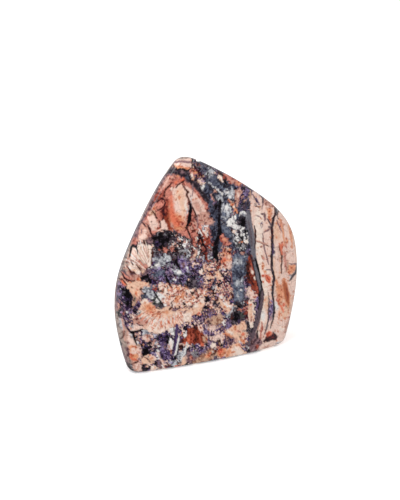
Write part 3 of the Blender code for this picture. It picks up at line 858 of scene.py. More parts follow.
# The purple and grey rock in the middle, and what lies on its right.
CENTRE = [
    Mix("violet plum lavender violet ink steel plum mauve", "152 256,163 256,172 262,200 258,212 262,"
        "205 285,190 292,172 288,160 290,152 290,150 270", 1),
    Patch("pearl", "153 258,158 257,163 257,165 254,169 255,172 258,171 262,167 262,164 266,160 270,156 269,"
        "154 263", 0.9),
    Spot("white", 157, 265, 2, 1.6, 0.8), Spot("lavender", 159, 268, 2, 2, 0.8),
    Spot("plum", 156, 260, 1.2, 1), Spot("plum", 160, 262, 1.3, 1.2), Spot("violet", 153, 266, 1.4, 2.2),
    Spot("ink", 163, 267, 1, 1.2), Spot("steel", 163, 272, 1.8, 2, 0.8),
    Spot("steel", 158, 274, 3.2, 3, 1.2), Patch("plum", "165 265,168 263,173 266,175 274,171 279,166 276"),
    Spot("ink", 167, 264, 2, 0.9, 0.5, 20), Spot("ink", 171, 263, 1, 1.4, 0.5, -30),
    Spot("pearl", 170, 266, 1.4, 1.8),
    Patch("lavender", "178 258,183 257,188 262,188 272,184 274,180 268", 0.9),
    Spot("mauve", 183, 265, 1.6, 3.4, 0.8, -30),
    Vein("white", "186.2 265.4 0.4,187.6 268.4 0.9,188.4 270.8 0.4"),
    # A painted highlight: the pearl patch and the white patch within it are a glint of the polish, painted
    # into the colour.
    Patch("pearl", "174 267,177 268,179 270,182 272,181 275,177 276,174 272"),
    Patch("white", "177 271,180 270,182 272,182 274,178 274,177 272", 0.6), Spot("violet", 181, 276, 1.6, 1),
    Spot("plum", 181, 278, 1.2, 1.2), Spot("lavender", 175, 281, 2, 1), Spot("white", 174, 279, 1.5, 0.9),
    Spot("plum", 173, 282, 1.4, 0.9), Vein("lavender", "168.4 271 0.8,170 276 1.2,168 281 1"),
    Spot("lavender", 183, 283, 1.4, 2), Spot("lavender", 161, 279, 1.6, 1.4, 0.7),
    Spot("plum", 163, 282, 1.3, 1.1), Spot("violet", 154, 282, 2, 1.8, 0.8), Spot("umber", 153, 279, 1.2, 1),
    Spot("coal", 157, 277, 1, 1.2), Spot("brick", 156, 289, 1.2, 1.8), Spot("rose", 154, 286, 1, 1.2),
    Spot("white", 160.4, 283, 1.2, 0.8),
    Patch("coal", "186 280,189 278,196 279,198 282,197 288,192 292,187 287", 1.2),
    Spot("ink", 190, 283, 2.2, 2.2, 1), Spot("peach", 188, 279, 1, 1), Spot("ash", 192, 290, 3.2, 2, 1),
    Mix("mauve violet blush umber lavender plum", "189 259,204 258,205 266,196 268,189 265", 1),
    Spot("umber", 195, 261, 1.2, 1.2), Spot("umber", 198, 260, 1, 0.9),
    Spot("lavender", 201, 264, 1.8, 1.2, 0.6, -20), Spot("blush", 193, 265, 1.2, 1.4, 0.6),
    Vein("ink", "195.6 269.6 0.8,199 267.6 1.8,203 265.6 0.8"),
    Vein("ink", "192.6 269 1,192.8 273 1.8,192.4 278.6 1.2"), Spot("violet", 197, 273, 2.4, 3.4, 0.9),
    Spot("lavender", 190, 268, 1.2, 2.2, 0.7), Patch("cream", "199 270,203 270,203 275,200 274", 0.6),
    Patch("peach", "203 266,208 264,210 272,207 276,204 270"), Spot("plum", 205, 275, 1.6, 1.5),
    Spot("moss", 187, 273, 1.6, 1.6, 0.8), Patch("ash", "180 248,188 249,189 256,184 259,180 256", 1.4),
    Vein("pearl", "182 250 0.8,185 249.6 1.2,188.4 251.4 1.2,189 256 1.2,186 258.4 1"),
    Spot("umber", 185, 254, 1.4, 1.8), Vein("pearl", "203 256 1.2,203.4 260 1,202.8 263 0.7"),
    # The salmon and black ground between the slit and the blue-grey zone.
    Mix("plum rose violet blush umber plum violet salmon coal plum peach", "206 262,214 262,222 246,231 248,"
        "233 258,234 280,236 300,226 304,204 300,202 284,206 275", 1),
    Mix("salmon rose brick peach apricot umber", "222 248,226 250,231 248,232 254,230 262,226 267,222 264,"
        "222 256"),
    Spot("rust", 224, 251, 1.4, 2, 0.7, -10), Spot("umber", 226, 249, 0.9, 1.2),
    Spot("ash", 221, 256, 1.4, 1.6, 0.7), Spot("coral", 224, 260, 2, 2.6, 0.9),
    Spot("peach", 229, 257, 1.6, 2.4, 0.8, -20), Spot("blush", 229, 265, 2.6, 4, 1),
    Vein("umber", "220.8 258 1,220.8 263 1.2,219 266 0.8"), Spot("white", 223, 269, 1.3, 1.3),
    Spot("brick", 218, 267, 1.5, 2, 0.5, -20), Spot("maroon", 216.4, 268, 0.8, 1.2),
    Vein("plum", "221.4 271 2.4,223.4 275 2.6,226.4 278 2.4,229 280.4 1.6", 0.6),
    Vein("ink", "220.8 270 1.2,222 274.4 1.6,225 279 1.6", 0.5),
    Vein("coal", "226.8 275.4 1,229.6 279 1.2,231.4 281.6 0.7"),
    Vein("brick", "230.4 276 0.9,232.6 281 1.3,232.8 286 1.4"), Vein("coal", "229.4 281 1.8,229.6 285 1.2"),
    Vein("ink", "218 282 1.6,219.2 284.6 2.6,219 288 1.2"),
    Vein("slate", "215.6 276 1.2,215.4 281 2,213.6 286 2,212 289 1.2", 0.6),
    Spot("plum", 211, 272, 2.6, 1.2, 0.6, -20), Spot("plum", 215, 273, 1.2, 2, 0.6),
    Spot("pearl", 213, 288, 1, 1.4), Spot("peach", 219, 275, 2, 4, 0.9),
    Mix("mauve pearl coal brick ash umber", "208 246,214 242,212 256,210 264,206 262", 0.9),
    Spot("pearl", 210, 258, 1.4, 1.1), Spot("pearl", 210, 254, 0.9, 1.1), Spot("brick", 207, 254, 1, 1.4),
    Spot("moss", 213, 260, 1.4, 2.2, 0.8), Spot("ash", 209, 263, 1.2, 1.4, 0.6),
    Spot("white", 216, 288, 0.9, 2.6), Vein("umber", "213.4 290 1,213.4 296 1.4"),
    Spot("rust", 226, 286, 1.1, 1.6), Vein("mauve", "224 290 1.2,228 293 2,226 296 1.4", 0.6),
    Spot("violet", 222, 293, 2, 1.2, 0.8, 30),
    # The blue-grey zone and the red patch beside it.
    Patch("steel", "232 252,238 254,245 256,246 268,244 276,245 290,246 300,244 306,238 304,234 296,232 284,"
        "231 272,232 262", 1.4),
    Patch("plum", "232 251,234 249,238 250,240 252,239 254,235 253,234 257,232 255", 0.7),
    Spot("slate", 237, 249, 2.6, 1.6, 0.8), Spot("lavender", 248, 251, 1.2, 2.8, 0.7, 10),
    Spot("pearl", 238, 262, 4, 3.6, 2), Spot("steel", 238, 270, 4, 6, 2),
    Spot("slate", 235, 272, 2.4, 2.6, 1.2), Spot("slate", 240, 275, 3, 4, 1.4),
    Spot("pearl", 239, 283, 3.6, 3.2, 1.6), Spot("pearl", 233, 263, 1, 2.2, 0.8),
    Spot("coal", 242, 268, 0.9, 1.6, 0.6, -20),
    Patch("plum", "244 276,246 275,247 285,248 290,245 289,244 283"), Spot("pearl", 242, 280, 1.2, 2.2, 1),
    Spot("white", 241, 290, 0.9, 1.2, 0.6), Spot("white", 238.6, 296.4, 0.7, 0.8),
    Spot("coal", 236, 289, 0.9, 1.4, 0.6), Vein("pearl", "236.6 291 0.8,237.6 296 1.2,239 300 0.8", 0.6),
    Patch("coal", "243 291,246 292,247 300,247 307,242 308,237 304,239 300,243 300", 0.9),
    Patch("ink", "236 303,240 305,240 309,237 310,235 306", 0.6), Spot("pearl", 242, 303, 1.2, 1),
    Spot("umber", 237, 302, 1, 1.4, 0.5, 20),
    Patch("rust", "250 254,252 256,253 262,256 272,259 282,258 290,260 296,256 292,252 286,248 282,246 274,"
        "246 266,248 260"),
    Patch("umber", "246 262,250 262,249 270,251 280,249 282,246 273", 0.9),
    Vein("brick", "250.6 258 1.4,252 266 2.6,252.4 272 1.6", 0.8),
    Patch("maroon", "250 279,253 280,255 286,252 284", 0.7),
    Patch("rust", "254 279,259 280,259 286,256 288"), Spot("cream", 252, 272, 1.4, 2.4, 0.6, -10),
    Spot("rose", 251, 268, 0.9, 1.8, 0.6), Patch("cream", "254 277,256 274,257 279,255 280", 0.5),
    Patch("brick", "257 286,260 288,261 296,258 294,256 290", 0.7),
    Vein("ink", "244.6 262 0.9,244.4 268 1.4,246 273 1.2", 0.7), Spot("pearl", 246, 255, 1.2, 2, 0.8, 30),
]

# The streaked cream cup and what lies round it, on the lower left.
CUP = [
    Patch("peach", "140 300,146 297,152 303,160 308,168 306,176 310,190 308,205 300,206 306,200 312,192 316,"
        "190 321,184 324,176 325,170 328,164 332,156 334,148 331,141 326,136 322,139 312", 0.7),
    Patch("rose", "136 284,130 282,128 288,132 292,134 300,138 304,142 298,146 292,142 286"),
    Patch("peach", "126 282,134 281,141 281,147 282,149 286,143 287,141 292,139 297,134 298,131 291,"
        "127 288"),
    Mix("blush peach rose cream apricot umber salmon mauve blush", "158 284,166 283,178 284,188 288,200 290,"
        "207 290,206 302,192 306,180 308,164 306,160 296", 1),
    Spot("apricot", 136, 293, 1.6, 1.8, 0.7), Spot("umber", 141, 289, 1.4, 1.6),
    Spot("umber", 132, 287.6, 0.8, 0.8), Spot("salmon", 137, 289, 1.2, 1.2, 0.7),
    Spot("coral", 136.8, 295, 0.8, 1.6, 0.6), Patch("tan", "132 295,135 295,137 300,135 306,132 306"),
    Spot("moss", 135, 299, 1.6, 2.2, 1),
    Patch("plum", "115 281,120 281,125 286,128 289,132 293,132 302,132 309,136 309,141 311,141 316,136 315,"
        "130 315,126 307,121 305,114 308", 0.7),
    Patch("ink", "121 286,126 288,131 292,131 300,132 309,130 309,129 303,124 306,122 304,123 297,"
        "121 291", 0.9),
    Patch("ink", "132 309,136 308,137 313,133 314", 0.6), Spot("ink", 140, 313, 1.4, 2.4),
    Spot("violet", 119, 284, 1.2, 1.8), Spot("lavender", 123, 287, 1, 1.2),
    Spot("pearl", 123.4, 292.4, 0.8, 1.4, 0.4), Spot("lavender", 118, 294, 1.3, 3, 0.8, -6),
    Spot("slate", 119, 297, 1.2, 2.6, 0.8), Spot("violet", 123, 298, 1.6, 1.2, 0.8, -10),
    Spot("ash", 124, 301.6, 1.4, 0.8, 0.6, -20), Spot("violet", 128, 299, 1.2, 2, 0.8, 10),
    Spot("violet", 139, 304, 1.8, 3.4, 0.8, 10), Spot("violet", 137, 312, 1, 2.2, 0.6),
    Spot("rose", 118, 306, 1.8, 3.4, 0.8), Patch("mauve", "114 288,117 292,117 300,119 310,116 312,112 300"),
    Vein("mauve", "126 308 1.4,124.4 312 2.4,122.4 316.6 2.2", 0.6),
    Spot("brick", 123, 314, 0.9, 1.4, 0.6, 20), Spot("white", 127, 312, 1.5, 1.2, 0.6),
    Spot("violet", 127, 309, 1.2, 1.6, 0.7), Spot("lavender", 130, 312, 1.4, 1, 0.7),
    Patch("pearl", "143 288,146 286,150 286,152 290,155 294,154 299,148 298,145 294,142 292", 0.9),
    Patch("slate", "140 296,144 293,148 296,147 299,142 300,140 299"), Spot("moss", 144, 294, 1.8, 1.4, 0.8),
    Spot("ink", 142.6, 299.2, 2.6, 0.8, 0.5, -10), Spot("plum", 141, 302, 1.4, 2.4, 0.7, 10),
    Spot("ink", 148, 298, 1.4, 1), Spot("white", 152, 299, 1.4, 1, 0.5, -30),
    Vein("lavender", "147 299 0.9,150 302 1.4,153 300 1.2", 0.5),
    Patch("moss", "151 300,156 297,161 302,165 306,162 309,156 307,152 304"),
    Spot("white", 158, 301, 1.4, 1.6, 0.6, 30),
    Patch("coal", "155 304,162 305,165 307,161 309,156 308", 0.7),
    Patch("white", "157 295,161 293,165 297,165 301,162 300,158 298", 0.7),
    Spot("rose", 163, 299, 1.6, 1.2, 0.6), Spot("ink", 161, 291, 1.8, 1.4),
    Spot("white", 165, 305, 1.4, 1, 0.6),
    Vein("cream", "142 303 1.4,145 300 2.6,148.4 303 1.6,152 305 0.9", 0.7),
    Patch("cream", "146 318,154 320,160 318,166 324,160 332,152 332,146 328", 3.4),
    Patch("cream", "176 312,186 313,192 312,190 320,182 323,174 322,174 316", 1.6),
    Patch("cream", "160 322,168 320,174 324,166 331,158 334", 1.6),
    Patch("apricot", "144 306,150 303,156 308,150 313,145 312", 2.4),
    Patch("rose", "141 316,147 318,150 323,144 326,136 323,137 319", 2),
    Spot("apricot", 157, 316, 4, 2.4, 2.4, 20), Spot("rust", 159, 312, 1.8, 1.1, 0.7, -10),
    Spot("coral", 151, 312, 2.2, 1.3, 0.8, 20),
    Vein("coral", "166 318 1.4,167.4 321 1.6,168.8 323.4 0.8", 0.5),
    Vein("apricot", "161 321 0.8,162 325 1.6,161.6 328 0.8", 0.7),
    Vein("coral", "151.4 326.4 0.6,152.6 328.6 1.2,151.6 330.4 0.7", 0.5),
    Spot("apricot", 167, 312, 1.6, 2, 0.9), Spot("salmon", 162, 316, 0.9, 1.2, 0.6),
    Vein("maroon", "134.6 325 0.7,138.4 324.6 0.9,142.6 325.6 1.2"),
    *feathers("coral cream apricot white salmon", 168, 294, 20, 40, 55, 150, 60),
    Patch("rose", "130 317,134 315,138 318,138 323,134 324,130 321"), Spot("maroon", 137, 319, 1.8, 1.3),
    Spot("cream", 133, 317, 1.4, 1.2, 0.6), Spot("umber", 141, 318, 1.2, 0.8),
    # The granular middle, where grains of many colours meet.
    Spot("umber", 170, 309, 1.4, 1.6), Spot("mauve", 174, 310, 1.8, 2.2, 0.8),
    Vein("umber", "182 304 1,185 303.4 1.6,186.4 306 1.2,183.6 307.4 1"),
    Vein("mauve", "180 311 0.8,183.6 312.4 1.4,187.6 310.6 1.2", 0.5),
    Vein("dusk", "187.4 308.6 0.8,190.4 307 1.4,192.6 309.4 1.2"), Spot("apricot", 177, 300, 2.6, 2.6, 1.2),
    Spot("apricot", 183, 295, 1.6, 3.4, 1), Spot("salmon", 178, 292, 1.6, 2.4, 1),
    Spot("brick", 181, 291, 0.9, 1.2, 0.6), Spot("apricot", 178, 288, 1.8, 1.6, 0.9),
    Spot("umber", 174, 294, 1.2, 0.9, 0.6), Spot("cream", 187, 291, 1.6, 1.4, 0.8),
    Spot("coal", 196, 292, 1.6, 1.6, 0.8), Spot("moss", 193, 293, 2.2, 1.6, 0.9),
    Spot("mauve", 189, 296, 1.6, 1, 0.7, 20), Spot("rust", 200, 294, 0.9, 1.2, 0.6),
    Spot("umber", 197, 298, 1.4, 1, 0.6, 30), Spot("salmon", 202, 291, 1.8, 2.4, 0.9),
    Spot("salmon", 197, 295, 2.2, 1.4, 0.9, 30), Spot("plum", 203, 289, 1.2, 1.1),
    Spot("cream", 202, 301, 2, 1.6, 0.9), Spot("cream", 190, 304, 2, 1.6, 0.9),
    Spot("cream", 196, 306, 2.4, 1.6, 0.9), Spot("cream", 166, 291, 1.8, 3.2, 0.9),
    Spot("umber", 167.6, 287.4, 0.7, 1.6), Spot("salmon", 172, 289, 1.2, 2.4, 0.8),
    Spot("mauve", 168, 294, 1.6, 1.2, 0.7), Spot("umber", 163.6, 291, 0.8, 1.8),
    Spot("coral", 199, 313, 1.4, 1, 0.7, 20),
]

# The broken ground on the lower right, and the foot of the pale bands.
FOOT = [
    Mix("plum violet ink lavender plum mauve blush violet", "126 317,132 316,133 324,128 326,131 330,"
        "140 331,150 332,158 335,170 329,180 324,190 321,193 314,200 316,206 300,212 296,214 312,226 318,"
        "232 320,240 322,250 316,254 330,250 352,230 360,200 362,160 371,130 374,120 340"),
    Mix("lavender violet mauve plum violet blush plum", "204 316,214 312,228 318,232 330,226 338,214 340,"
        "206 338,203 328", 1.2),
    Mix("mauve tan rose violet lavender plum umber", "204 312,214 316,224 322,222 328,208 326,203 320", 1.2),
    Patch("tan", "212 316,222 314,224 322,216 326,210 322", 1.6), Spot("blush", 212, 328, 3.6, 2, 1.2, -10),
    Spot("lavender", 206, 331, 1.6, 3, 0.8),
    Mix("salmon peach umber violet plum blush plum violet", "206 299,214 297,224 292,232 300,236 308,"
        "232 314,224 314,214 312,207 308", 1),
    Patch("peach", "220 294,226 300,230 304,236 306,236 312,230 313,222 308,218 301", 1),
    Mix("cream blush rose white plum", "220 295,223 296,227 301,229 305,232 305,230 309,226 305,221 301"),
    Spot("apricot", 225, 307, 1.6, 1.2, 0.8), Spot("brick", 231, 309, 1.2, 1.4, 0.6),
    Patch("coal", "213 301,219 300,220 305,215 308,213 305"), Spot("rose", 211, 303, 1.6, 1.2, 0.7),
    Spot("umber", 210.6, 302, 0.8, 1.2), Spot("violet", 216, 313, 2.6, 1.8, 0.9, -10),
    Spot("peach", 217, 309, 2, 1, 0.8, -10), Patch("ink", "205 296,210 298,209 301,206 303,204 300", 0.7),
    Patch("ink", "205 305,209 306,209 309,205 311,204 308", 0.7), Spot("ink", 202, 311, 1.4, 1),
    Spot("plum", 201, 318, 1.8, 3, 0.8), Spot("plum", 208, 293, 1.4, 2.8, 0.8, 20),
    Spot("coal", 218, 294, 1.4, 1.3), Spot("plum", 218, 297, 1.6, 1.4, 0.7),
    Spot("violet", 231, 301, 2, 1.8, 0.8), Spot("ink", 233, 305, 1, 1.8, 0.5, -20),
    Vein("umber", "231.6 292 1,232.4 296 1.8,231.6 299 1", 0.5),
    Patch("pearl", "232 305,236 307,234 312,231 314,229 316,226 316,230 311", 0.7),
    Patch("coal", "234 308,241 309,245 312,245 319,241 323,234 325,230 322,233 316", 0.9),
    Patch("ink", "235 312,238 311,239 319,235 321,232 320"),
    Patch("umber", "230 313,233 313,233 319,231 320", 0.6), Spot("violet", 239, 322, 2, 0.9, 0.6, -20),
    Spot("moss", 242, 314, 2.6, 3, 1.4),
    Vein("salmon", "238.6 308.6 1.2,241 309.6 1.6,245 309 1.4,247 306 0.8", 0.5),
    Patch("plum", "225 318,230 317,231 324,228 327,225 323"), Spot("white", 223, 322, 1, 1.5, 0.6, 20),
    Spot("lavender", 229, 326, 2.4, 1.6, 0.9, -20), Spot("plum", 220, 327, 1.8, 1.2, 0.8),
    Spot("violet", 223, 333, 2.8, 1.4, 0.9, -10), Spot("ink", 212, 336, 1.8, 0.9, 0.6, -20),
    Patch("peach", "232 326,238 325,241 322,245 321,247 328,246 336,240 342,232 340,226 332,228 329", 0.9),
    Spot("apricot", 235, 328, 1.8, 2.6, 1), Patch("cream", "228 330,231 331,234 334,231 335,228 333", 0.7),
    Patch("apricot", "225 331,230 334,234 337,230 342,225 337", 1),
    Spot("coral", 243, 334, 2, 1.6, 0.9, -10), Spot("salmon", 238, 331, 2, 1.2, 0.8),
    Vein("ash", "241 330 0.9,244.6 330.6 1.6,248 332 1", 0.6),
    Patch("coal", "245 319,249 321,251 330,250 337,247 333,246 326", 0.7),
    Patch("coal", "246 299,250 298,254 300,257 304,255 307,251 302,249 301", 0.6),
    Vein("maroon", "244.6 311 1.2,246.6 316 2.2,248.4 320 1.6", 0.6), Spot("brick", 246, 313, 1.3, 1.6, 0.6),
    Patch("blush", "247 290,251 288,254 292,257 299,252 300,249 298,247 295"),
    Spot("salmon", 255, 297, 1.8, 1, 0.7), Vein("dusk", "249 291 0.9,249.6 297 1.1"),
    Patch("cream", "249 301,252 302,255 306,254 312,253 320,252 328,250 328,249 320,248 316,249 308", 0.7),
    Patch("peach", "249 304,252 305,253 312,252 322,249 318,248 312", 1),
    Spot("coral", 251, 305, 1.3, 1.2, 0.7), Spot("brick", 247, 302, 0.9, 1.3),
    Spot("rose", 248, 307, 0.8, 1.4, 0.6), Spot("rose", 251, 320, 1, 2.2, 0.7),
    # The dark vein that comes down beside the pale bands and spreads at the foot.
    Vein("coal", "260.4 289 2.6,261.6 294 3.2,262 300 3.6,261.6 305 3.4,259.6 310 4,257.6 316 4.4,256 322 4,"
        "253.6 328 3.4,251.6 334 3.6,250 340 4.2,248.6 347 5", 0.6),
    Vein("umber", "262.8 290 0.9,263.4 298 1.2,262.6 304 1.4,261.2 309 1", 0.5),
    Vein("ink", "259 290 1.2,259.6 297 1.6,260 303 1", 0.5),
    Patch("lavender", "256 298,259 299,259 306,258 309,256 305", 0.6), Spot("coal", 262, 311.6, 1.6, 0.8),
    Spot("moss", 257, 317, 1.6, 2.4, 0.8),
    Patch("pearl", "257 321,259 323,257 328,255 334,254 331,255 326", 0.6), Spot("coal", 256, 328, 1.2, 1),
    Vein("rose", "259.6 322 1,258.4 328 1.6,257.6 334 1.2", 0.5),
    Vein("maroon", "268.8 292 0.7,268.6 298 0.9", 0.5),
    Vein("dusk", "268.8 299 0.9,268.8 306 1.4,268.2 312 1.8,268.8 318 1.4,268 323 1.6,266.6 328 1.6,"
        "265 332 1.8,263.4 337 1.2", 0.5),
    Vein("umber", "268.6 304 0.5,268.2 313 0.9,268.4 320 0.7,266 329 0.9"),
    Vein("coal", "272.6 288 2,272.4 293 2.2,273 298 1.6,274 302 2,274.2 308 2.2,273.6 314 2.2,272.6 320 1.6,"
        "271.4 325 1.2,270.4 328.6 0.7", 0.5),
    Vein("umber", "274.8 302 0.6,274.8 308 0.9,274 314 0.9,272.4 321 0.6"),
    Patch("lavender", "270 300,273 300,273 308,272 316,270 322,269 312,270 306"),
    Patch("peach", "265 296,268 296,268 306,267 312,264 306", 1), Spot("salmon", 270, 302, 1.2, 1.4, 0.6),
    Spot("white", 263, 316, 1.6, 4.4, 1.4), Patch("white", "275 300,278 303,278 310,276 311,275 306", 1),
    Patch("apricot", "277 296,283 298,288 306,290 314,284 314,279 306", 2),
    Patch("peach", "282 300,292 296,291 310,286 320,280 318,279 310", 2.4),
    Patch("blush", "270 322,280 318,289 322,285 336,278 346,268 346,270 334", 1.6),
    Patch("rose", "288 318,292 318,286 342,279 348,282 338", 1.4), Spot("tan", 288, 306, 2.4, 3.4, 1.6),
    Spot("cream", 282, 329, 2.4, 2.4, 1.6),
    Vein("coral", "278.4 302.6 1,280.6 306 2,282.6 310 2.2,283.6 312 1.2", 0.8),
    Spot("coral", 284, 305, 1.6, 1.8, 1), Vein("apricot", "279.4 312 1.4,279 317 1.6,278.6 320 0.8", 0.9),
    Spot("salmon", 289, 317, 1.4, 1.2, 0.8), Spot("salmon", 277, 299, 1.2, 1.6, 0.8),
    Vein("salmon", "261.6 322 0.9,262 328 3,261.6 334 2.6,260.6 339 1.4", 0.8),
    Spot("brick", 262, 330, 1.6, 3, 0.9), Patch("blush", "264 324,266 326,265 334,263 338,262 334"),
    Vein("cream", "267.4 322 0.9,266.6 327 1.2,265 331 0.9", 0.5),
    Patch("coral", "266 333,269 331,272 332,271 336,267 338"),
    Patch("maroon", "262 341,266 337,271 335,273 331,276 333,278 336,276 340,270 341,265 343", 0.7),
    Spot("ink", 274, 333, 1.4, 1.8), Vein("ink", "258 330 1,257.6 335 2.6,256 341 3,253 346 2.4", 0.6),
]

# The pale band on the left edge, down to the corner, its grey taupe strip partly painted reflection of the
# white surroundings.
LOW_LEFT = [
    Patch("rose", "112 308,118 309,120 317,124 318,126 326,129 331,133 338,137 344,140 349,141 356,139 361,"
        "141 366,142 372,128 374,114 350", 0.7),
    # The taupe strip along the edge: partly the rock's colour, partly painted reflection of the white
    # surroundings.
    Patch("taupe", "112 308,117 310,119 318,124 320,125 327,127 331,126 340,128 352,132 362,130 366,"
        "120 350", 1.2),
    Patch("moss", "116 309,120 310,121 316,120 318,117 316", 0.9),
    Patch("pearl", "119 319,123 320,124 325,123 330,120 328", 1.4),
    Patch("blush", "129 332,134 338,136 344,140 350,141 357,136 361,130 356,128 348,127 338", 1.2),
    Spot("pearl", 131, 336, 1.6, 3, 1, -20),
    Patch("apricot", "128 346,132 345,137 347,136 350,130 352", 1.2), Spot("blush", 134, 350, 3, 2.2, 1, 10),
    Patch("apricot", "129 353,134 354,138 354,139 358,135 361,131 359", 1.2),
    Spot("coral", 131, 354, 1.6, 1.2, 0.8, 30),
    Vein("coral", "129.6 356.6 0.8,132.6 359 1.4,136.6 360 1", 0.7),
    Spot("salmon", 138.6, 352, 0.8, 1.2, 0.6), Spot("mauve", 128, 343, 1, 1.6, 0.8, -20),
    Patch("mauve", "125 346,129 348,130 356,128 358,126 354", 1),
    Vein("rose", "122 320 1.4,124 330 1.6,125 340 1.4", 0.8),
    Vein("umber", "124.6 331 0.8,124.4 334.6 1.4,122.6 337.4 1.2,120 338.4 0.8", 0.5),
    Spot("mauve", 125, 333, 1, 1.4, 0.7), Vein("ink", "118.6 339 1.2,120 342 1.8,121.6 345 1.2", 0.6),
    Vein("mauve", "122 346 1,124.6 356 1.8,128 364 1.8", 0.8),
    Vein("ink", "127 362.6 1.2,129 367 2.2,132 370.8 1.8,134.4 373 0.9", 0.6),
    Patch("ash", "128 360,132 363,134 366,134 372,130 367"),
    Vein("umber", "132.6 363.4 0.8,135.6 362.6 1.2,138 361 0.8", 0.5),
    Patch("blush", "135 364,139 362,141 365,142 370,137 371,135 368", 0.7),
    Spot("rose", 138.6, 366, 0.8, 2.4, 0.6, -14),
    Vein("plum", "119.4 317.6 1,123.4 318 1.4,125.2 321 1.8,126.2 326 2,128.4 329.6 1.8,130.4 332 1.4", 0.5),
    Vein("ink", "130 331.6 1.2,133 332.6 3,134 337 2.2,135.4 341 1.8,137 345 0.8", 0.5),
    Patch("blush", "128 326,132 325,140 326,144 327,141 330,138 331,132 330,129 329", 0.7),
    Spot("pearl", 132, 327, 2, 1.6, 0.9),
    Vein("ink", "131 331.4 1.4,135 331.6 1.8,139 331 1.6,141.6 329.6 1.2", 0.5),
    Spot("coal", 127, 322, 1.6, 1, 0.6),
    Patch("pearl", "141 331,145 329,149 332,151 335,146 337,142 335", 0.9),
    Vein("plum", "141.4 332 1.6,142 335.6 1.4"),
    Patch("rose", "135 333,138 334,140 338,139 341,136 338", 0.7), Spot("ash", 137, 337, 1, 2, 0.7, -20),
    Spot("plum", 140, 338, 1, 1.4), Spot("white", 137.6, 342.6, 0.8, 1.8, 0.6),
    Spot("tan", 138.6, 344.4, 0.8, 1.2, 0.6),
    Patch("blush", "142 336,146 337,150 338,151 340,146 341,142 339", 0.7),
    Spot("rose", 148, 336, 3, 0.9, 0.6, 8), Spot("rose", 148.6, 340.6, 2.6, 0.6, 0.5, 4),
]

